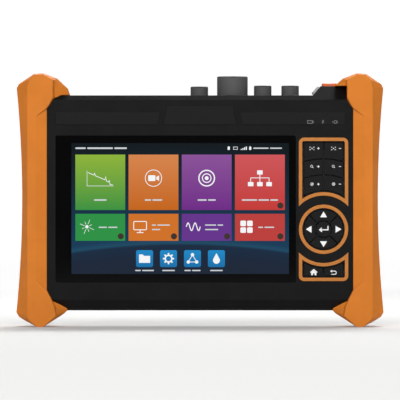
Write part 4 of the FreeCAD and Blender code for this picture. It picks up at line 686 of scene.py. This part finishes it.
def enter_sign():
    """Arrow that comes down and turns to the left."""
    tip = [[(-3.4, -0.4), (-1.2, -2.2), (-1.2, 1.4)]]
    return stroke([(3.2, 2.4), (3.2, -0.4), (-1.6, -0.4)], 0.8) + tip


def house_sign():
    """House under a roof line, with a door left open at its foot."""
    roof = stroke([(-2.5, -0.2), (0, 2.0), (2.5, -0.2)], 0.6)
    gable = [(-1.9, -0.1), (1.9, -0.1), (0, 1.5)]
    left_wall = [(-1.9, -2.2), (-0.55, -2.2), (-0.55, -0.1), (-1.9, -0.1)]
    right_wall = [(0.55, -2.2), (1.9, -2.2), (1.9, -0.1), (0.55, -0.1)]
    lintel = [(-0.55, -0.9), (0.55, -0.9), (0.55, -0.1), (-0.55, -0.1)]
    return roof + [gable, left_wall, right_wall, lintel]


def return_sign():
    """Arrow that turns back to the left."""
    line = [(-1.0, 0.8), (1.0, 0.8)] + bow(1.0, -0.35, 1.15, 80, -90, 8) + [(-1.6, -1.5)]
    tip = [[(-2.3, 0.8), (-0.9, -0.2), (-0.9, 1.8)]]
    return stroke(line, 0.55) + tip


def keypad_print():
    """Signs on the upper keys, arrows round the enter key, house and return arrow below."""
    sign_gap = 4.6
    for row, lift, sign in (("focus", 2.45, bracket_sign), ("zoom", 1.45, magnifier_sign),
                            ("iris", 0.8, aperture_sign)):
        for name, shift, amount in (("plus", 3.5, plus_sign), ("minus", 4.6, minus_sign)):
            node = f"{row}_{name}_key"
            x, z = face_centre(node)
            marks = moved(amount(), x + shift, z + lift)
            marks += moved(sign(), x + shift - sign_gap, z + lift)
            key_mark(f"{row}_{name}_mark", node, marks)
    centre = Vector(face_centre("enter_key"))
    away, foot, tip, half = 10.6, 2.0, 2.2, 2.5
    for name, turn in (("right", 0), ("up", 90), ("left", 180), ("down", 270)):
        out = Vector((math.cos(math.radians(turn)), math.sin(math.radians(turn))))
        across = Vector((-out.y, out.x))
        middle = centre + out * away
        corners = [middle - out * foot - across * half, middle + out * tip,
                   middle - out * foot + across * half]
        key_mark(f"{name}_arrow", f"{name}_key", [[tuple(corner) for corner in corners]])
    for name, node, sign, shift, lift in (("enter_arrow", "enter_key", enter_sign, 0, 0),
                                          ("home_mark", "home_key", house_sign, 0.2, -1.8),
                                          ("back_mark", "back_key", return_sign, -0.2, -1.8)):
        x, z = face_centre(node)
        key_mark(name, node, moved(sign(), x + shift, z + lift))


def indicator_print():
    """Grey battery, charging and plug marks over the indicator windows."""
    battery = stroke(box_outline(0.3, -1.0, 3.8, 1.0)[0], 0.35, closed=True)
    battery += box_outline(4.1, -0.5, 4.7, 0.5)
    bolt = [[(-0.9, -0.2), (0.1, -0.2), (0.7, 1.3), (0.1, 1.3)],
            [(-0.5, -1.5), (0.9, 0.3), (-0.1, 0.3)]]
    plug = ring(0, 0, 1.05, 0.35, 20) + stroke([(-2.4, 0), (-1.1, 0)], 0.35)
    plug += stroke([(1.05, 0.5), (1.8, 0.5)], 0.3) + stroke([(1.05, -0.5), (1.8, -0.5)], 0.3)
    left, _, _, face, low, high = span("indicator_windows")
    marks = []
    for sign, shift in ((battery, 0), (bolt, 11.45), (plug, 20.4)):
        marks += moved(sign, left + shift, (low + high) / 2)
    plate("indicator_marks", marks, face, face + PRINT, GREY_INK, "housing")


# Repeats made by node trees

def row_tree(name, count, step, material, build):
    """Node tree that sets copies of one shape in a row and gives them a finish."""
    tree = bpy.data.node_groups.new(name, "GeometryNodeTree")
    tree.interface.new_socket(name="Geometry", in_out="OUTPUT", socket_type="NodeSocketGeometry")
    for label, kind, default in (("Count", "NodeSocketInt", count), ("Step", "NodeSocketVector", step),
                                 ("Start", "NodeSocketVector", (0.0, 0.0, 0.0))):
        socket = tree.interface.new_socket(name=label, in_out="INPUT", socket_type=kind)
        socket.default_value = default
    given = add(tree, "NodeGroupInput")
    line = add(tree, "GeometryNodeMeshLine", None, {
        "Count": given.outputs["Count"], "Offset": given.outputs["Step"],
        "Start Location": given.outputs["Start"]})
    copies = add(tree, "GeometryNodeInstanceOnPoints", None,
                 {"Points": line.outputs["Mesh"], "Instance": build(tree)})
    real = add(tree, "GeometryNodeRealizeInstances", None, {"Geometry": copies.outputs["Instances"]})
    coated = add(tree, "GeometryNodeSetMaterial", None,
                 {"Geometry": real.outputs["Geometry"], "Material": material})
    add(tree, "NodeGroupOutput", None, {"Geometry": coated.outputs["Geometry"]})
    return tree


def grown(name, tree, start):
    """Plain mesh from a node tree whose row begins at a start, in metres."""
    carrier = bpy.data.objects.new(f"{name}_source", bpy.data.meshes.new(f"{name}_source"))
    bpy.context.scene.collection.objects.link(carrier)
    modifier = carrier.modifiers.new("row", "NODES")
    modifier.node_group = tree
    socket = tree.interface.items_tree["Start"]
    modifier[socket.identifier] = start
    seen = carrier.evaluated_get(bpy.context.evaluated_depsgraph_get())
    mesh = bpy.data.meshes.new_from_object(seen)
    bpy.data.objects.remove(carrier)
    mesh.name = name
    settle(name, mesh, "housing")


FIBRE_PORTS = ("laser_port", "test_port_1", "test_port_2")


def port_threads():
    """Rolled thread under each of the small dust caps."""
    turns, pitch, radius, height, below_rim = 5, 0.75, 4.42, 0.16, 4.1

    def thread(tree):
        """One turn of the thread."""
        circle = add(tree, "GeometryNodeCurvePrimitiveCircle", None,
                     {"Resolution": 48, "Radius": radius * MM})
        profile = add(tree, "GeometryNodeCurvePrimitiveCircle", None,
                      {"Resolution": 6, "Radius": height * MM})
        return add(tree, "GeometryNodeCurveToMesh", None, {
            "Curve": circle.outputs["Curve"], "Profile Curve": profile.outputs["Curve"]}).outputs["Mesh"]

    tree = row_tree("rolled_thread", turns, (0.0, 0.0, pitch * MM), NICKEL, thread)
    for port in FIBRE_PORTS:
        x, y = top_centre(port)
        start = (x * MM, y * MM, (span(port)[5] - below_rim) * MM)
        grown(f"{port}_thread", tree, start)


def socket_contacts():
    """Eight gilt contact springs on the front wall of the network socket."""
    count, pitch, width, depth, height = 8, 1.02, 0.45, 0.3, 8.0
    wall, lift = 1.8, 8.6

    def contact(tree):
        """One straight spring."""
        bar =add(tree, "GeometryNodeMeshCube", None, {"Size": (width * MM, depth * MM, height * MM)})
        return bar.outputs["Mesh"]

    tree = row_tree("contact_row", count, (pitch * MM, 0.0, 0.0), GOLD, contact)
    left, right, _, front, low, _ = span("network_socket")
    first = (left + right) / 2 - (count - 1) / 2 * pitch
    start = (first * MM, -(front - wall - depth / 2) * MM, (low + lift) * MM)
    grown("network_contacts", tree, start)


# Turned pieces inside the ports

def turned_ring(name, corners, centre, material):
    """Ring round an upright axis; its section has corners given as (radius, height)."""
    mesh = bpy.data.meshes.new(name)
    shape = bmesh.new()
    steps = 40
    loops = []
    for radius, height in corners:
        loops.append([shape.verts.new(((centre[0] + radius * math.cos(math.tau * n / steps)) * MM,
                                       (centre[1] + radius * math.sin(math.tau * n / steps)) * MM,
                                       height * MM)) for n in range(steps)])
    for lower, upper in zip(loops, loops[1:] + loops[:1]):
        for n in range(steps):
            after = (n + 1) % steps
            shape.faces.new((lower[n], lower[after], upper[after], upper[n]))
    bmesh.ops.recalc_face_normals(shape, faces=shape.faces)
    shape.to_mesh(mesh)
    shape.free()
    mesh.materials.append(material)
    settle(name, mesh, "housing")


def port_sleeves():
    """White ceramic sleeve rims in the fibre ports and the dark detector in the power meter port."""
    bore, rim, proud = 1.27, 1.95, 0.12
    for port in FIBRE_PORTS:
        high = span(port)[5]
        section = ((bore, high), (bore, high + proud), (rim, high + proud), (rim, high))
        turned_ring(f"{port}_sleeve", section, top_centre(port), CERAMIC)
    pinhole, edge, lift, thickness = 0.05, 4.9, 10, 0.8
    low = span("power_meter_port")[4] + lift
    section = ((pinhole, low), (pinhole, low + thickness), (edge, low + thickness), (edge, low))
    turned_ring("detector_window", section, top_centre("power_meter_port"), GLASS)


# Studio, in metres

def softbox(name, place, aim, size, power, spread):
    """Area light that looks at a point; spread in degrees is how wide its grid lets light out."""
    lamp = bpy.data.lights.new(name, "AREA")
    lamp.shape = "RECTANGLE"
    lamp.size, lamp.size_y = size
    lamp.energy = power
    lamp.spread = math.radians(spread)
    holder = bpy.data.objects.new(name, lamp)
    bpy.context.scene.collection.objects.link(holder)
    holder.location = place
    holder.rotation_euler = (Vector(aim) - Vector(place)).to_track_quat("-Z", "Y").to_euler()


def glowing_paper():
    """Matt white paper, lit through: a little everywhere and most behind the object."""
    even_glow, back_glow = 0.12, 0.68
    rise_start, rise_end = 0.1, 1.8
    fade_start, fade_end = 0.7, 1.8
    paper, tree, shader = finish("matt_white_paper", "C6C6C5", 0.9)
    grained(tree, shader, size=3.0, depth=0.02)
    place = add(tree, "ShaderNodeSeparateXYZ", None,
                {"Vector": add(tree, "ShaderNodeTexCoord").outputs["Object"]})
    rise = add(tree, "ShaderNodeMapRange", None, {
        "Value": place.outputs["Y"], "From Min": rise_start, "From Max": rise_end,
        "To Min": 0.0, "To Max": back_glow})
    aside = add(tree, "ShaderNodeMath", {"operation": "ABSOLUTE"}, {0: place.outputs["X"]})
    fade = add(tree, "ShaderNodeMapRange", None, {
        "Value": aside.outputs[0], "From Min": fade_start, "From Max": fade_end,
        "To Min": 1.0, "To Max": 0.0})
    glow = add(tree, "ShaderNodeMath", {"operation": "MULTIPLY_ADD"},
               {0: rise.outputs["Result"], 1: fade.outputs["Result"], 2: even_glow})
    tree.links.new(glow.outputs[0], shader.inputs["Emission Strength"])
    shader.inputs["Emission Color"].default_value = linear("FFFFFF")
    return paper


def paper_room():
    """Round sweep: a floor that curves up into a wall all the way round."""
    floor_radius, bend, wall_top, steps = 6.0, 1.2, 6.0, 96
    profile = [(1.0, 0.0), (3.0, 0.0), (floor_radius, 0.0)]
    profile += [(floor_radius + bend * math.sin(turn), bend - bend * math.cos(turn))
                for turn in (math.radians(10 * step) for step in range(1, 10))]
    profile.append((floor_radius + bend, wall_top))
    shape = bmesh.new()
    middle = shape.verts.new((0, 0, 0))
    loops = [[shape.verts.new((radius * math.cos(math.tau * n / steps),
                               radius * math.sin(math.tau * n / steps), height))
              for n in range(steps)] for radius, height in profile]
    for n in range(steps):
        after = (n + 1) % steps
        shape.faces.new((middle, loops[0][n], loops[0][after]))
        for inner, outer in zip(loops, loops[1:]):
            shape.faces.new((inner[n], outer[n], outer[after], inner[after]))
    sheet = bpy.data.meshes.new("paper_sweep")
    shape.to_mesh(sheet)
    shape.free()
    for face in sheet.polygons:
        face.use_smooth = True
    sheet.materials.append(glowing_paper())
    sweep = bpy.data.objects.new("paper_sweep", sheet)
    bpy.context.scene.collection.objects.link(sweep)


def long_lens():
    """Camera far in front, looking level along +Y, with the photograph's width at the object.

    The film's width is in millimetres.
    """
    frame_width, distance, eye_height, film_width = 0.2872, 4.0, 0.0912, 36.0
    lens = bpy.data.cameras.new("long_lens")
    lens.sensor_width = film_width
    lens.lens = film_width * (distance - GLASS_FACE * MM) / frame_width
    lens.clip_end = 50.0
    eye = bpy.data.objects.new("long_lens", lens)
    bpy.context.scene.collection.objects.link(eye)
    eye.location = (0.0, -distance, eye_height)
    eye.rotation_euler = (math.radians(90), 0.0, 0.0)
    bpy.context.scene.camera = eye


def studio():
    """White paper room, soft light from above in front and behind, faint light all round."""
    paper_room()
    softbox("key_softbox", place=(-0.15, -2.5, 1.8), aim=(0.0, 0.0, 0.09), size=(2.0, 1.4),
            power=44, spread=140)
    softbox("rear_softbox", place=(0.4, 1.5, 2.1), aim=(0.0, 0.0, 0.1), size=(2.0, 1.0),
            power=14, spread=70)
    world = bpy.data.worlds.new("studio")
    bpy.context.scene.world = world
    world.use_nodes = True
    air = world.node_tree.nodes["Background"]
    air.inputs["Color"].default_value = linear("FFFFFF")
    air.inputs["Strength"].default_value = 0.06
    bpy.context.scene.view_settings.view_transform = "Standard"
    long_lens()


lit_picture()
keypad_print()
indicator_print()
port_threads()
port_sleeves()
socket_contacts()
studio()
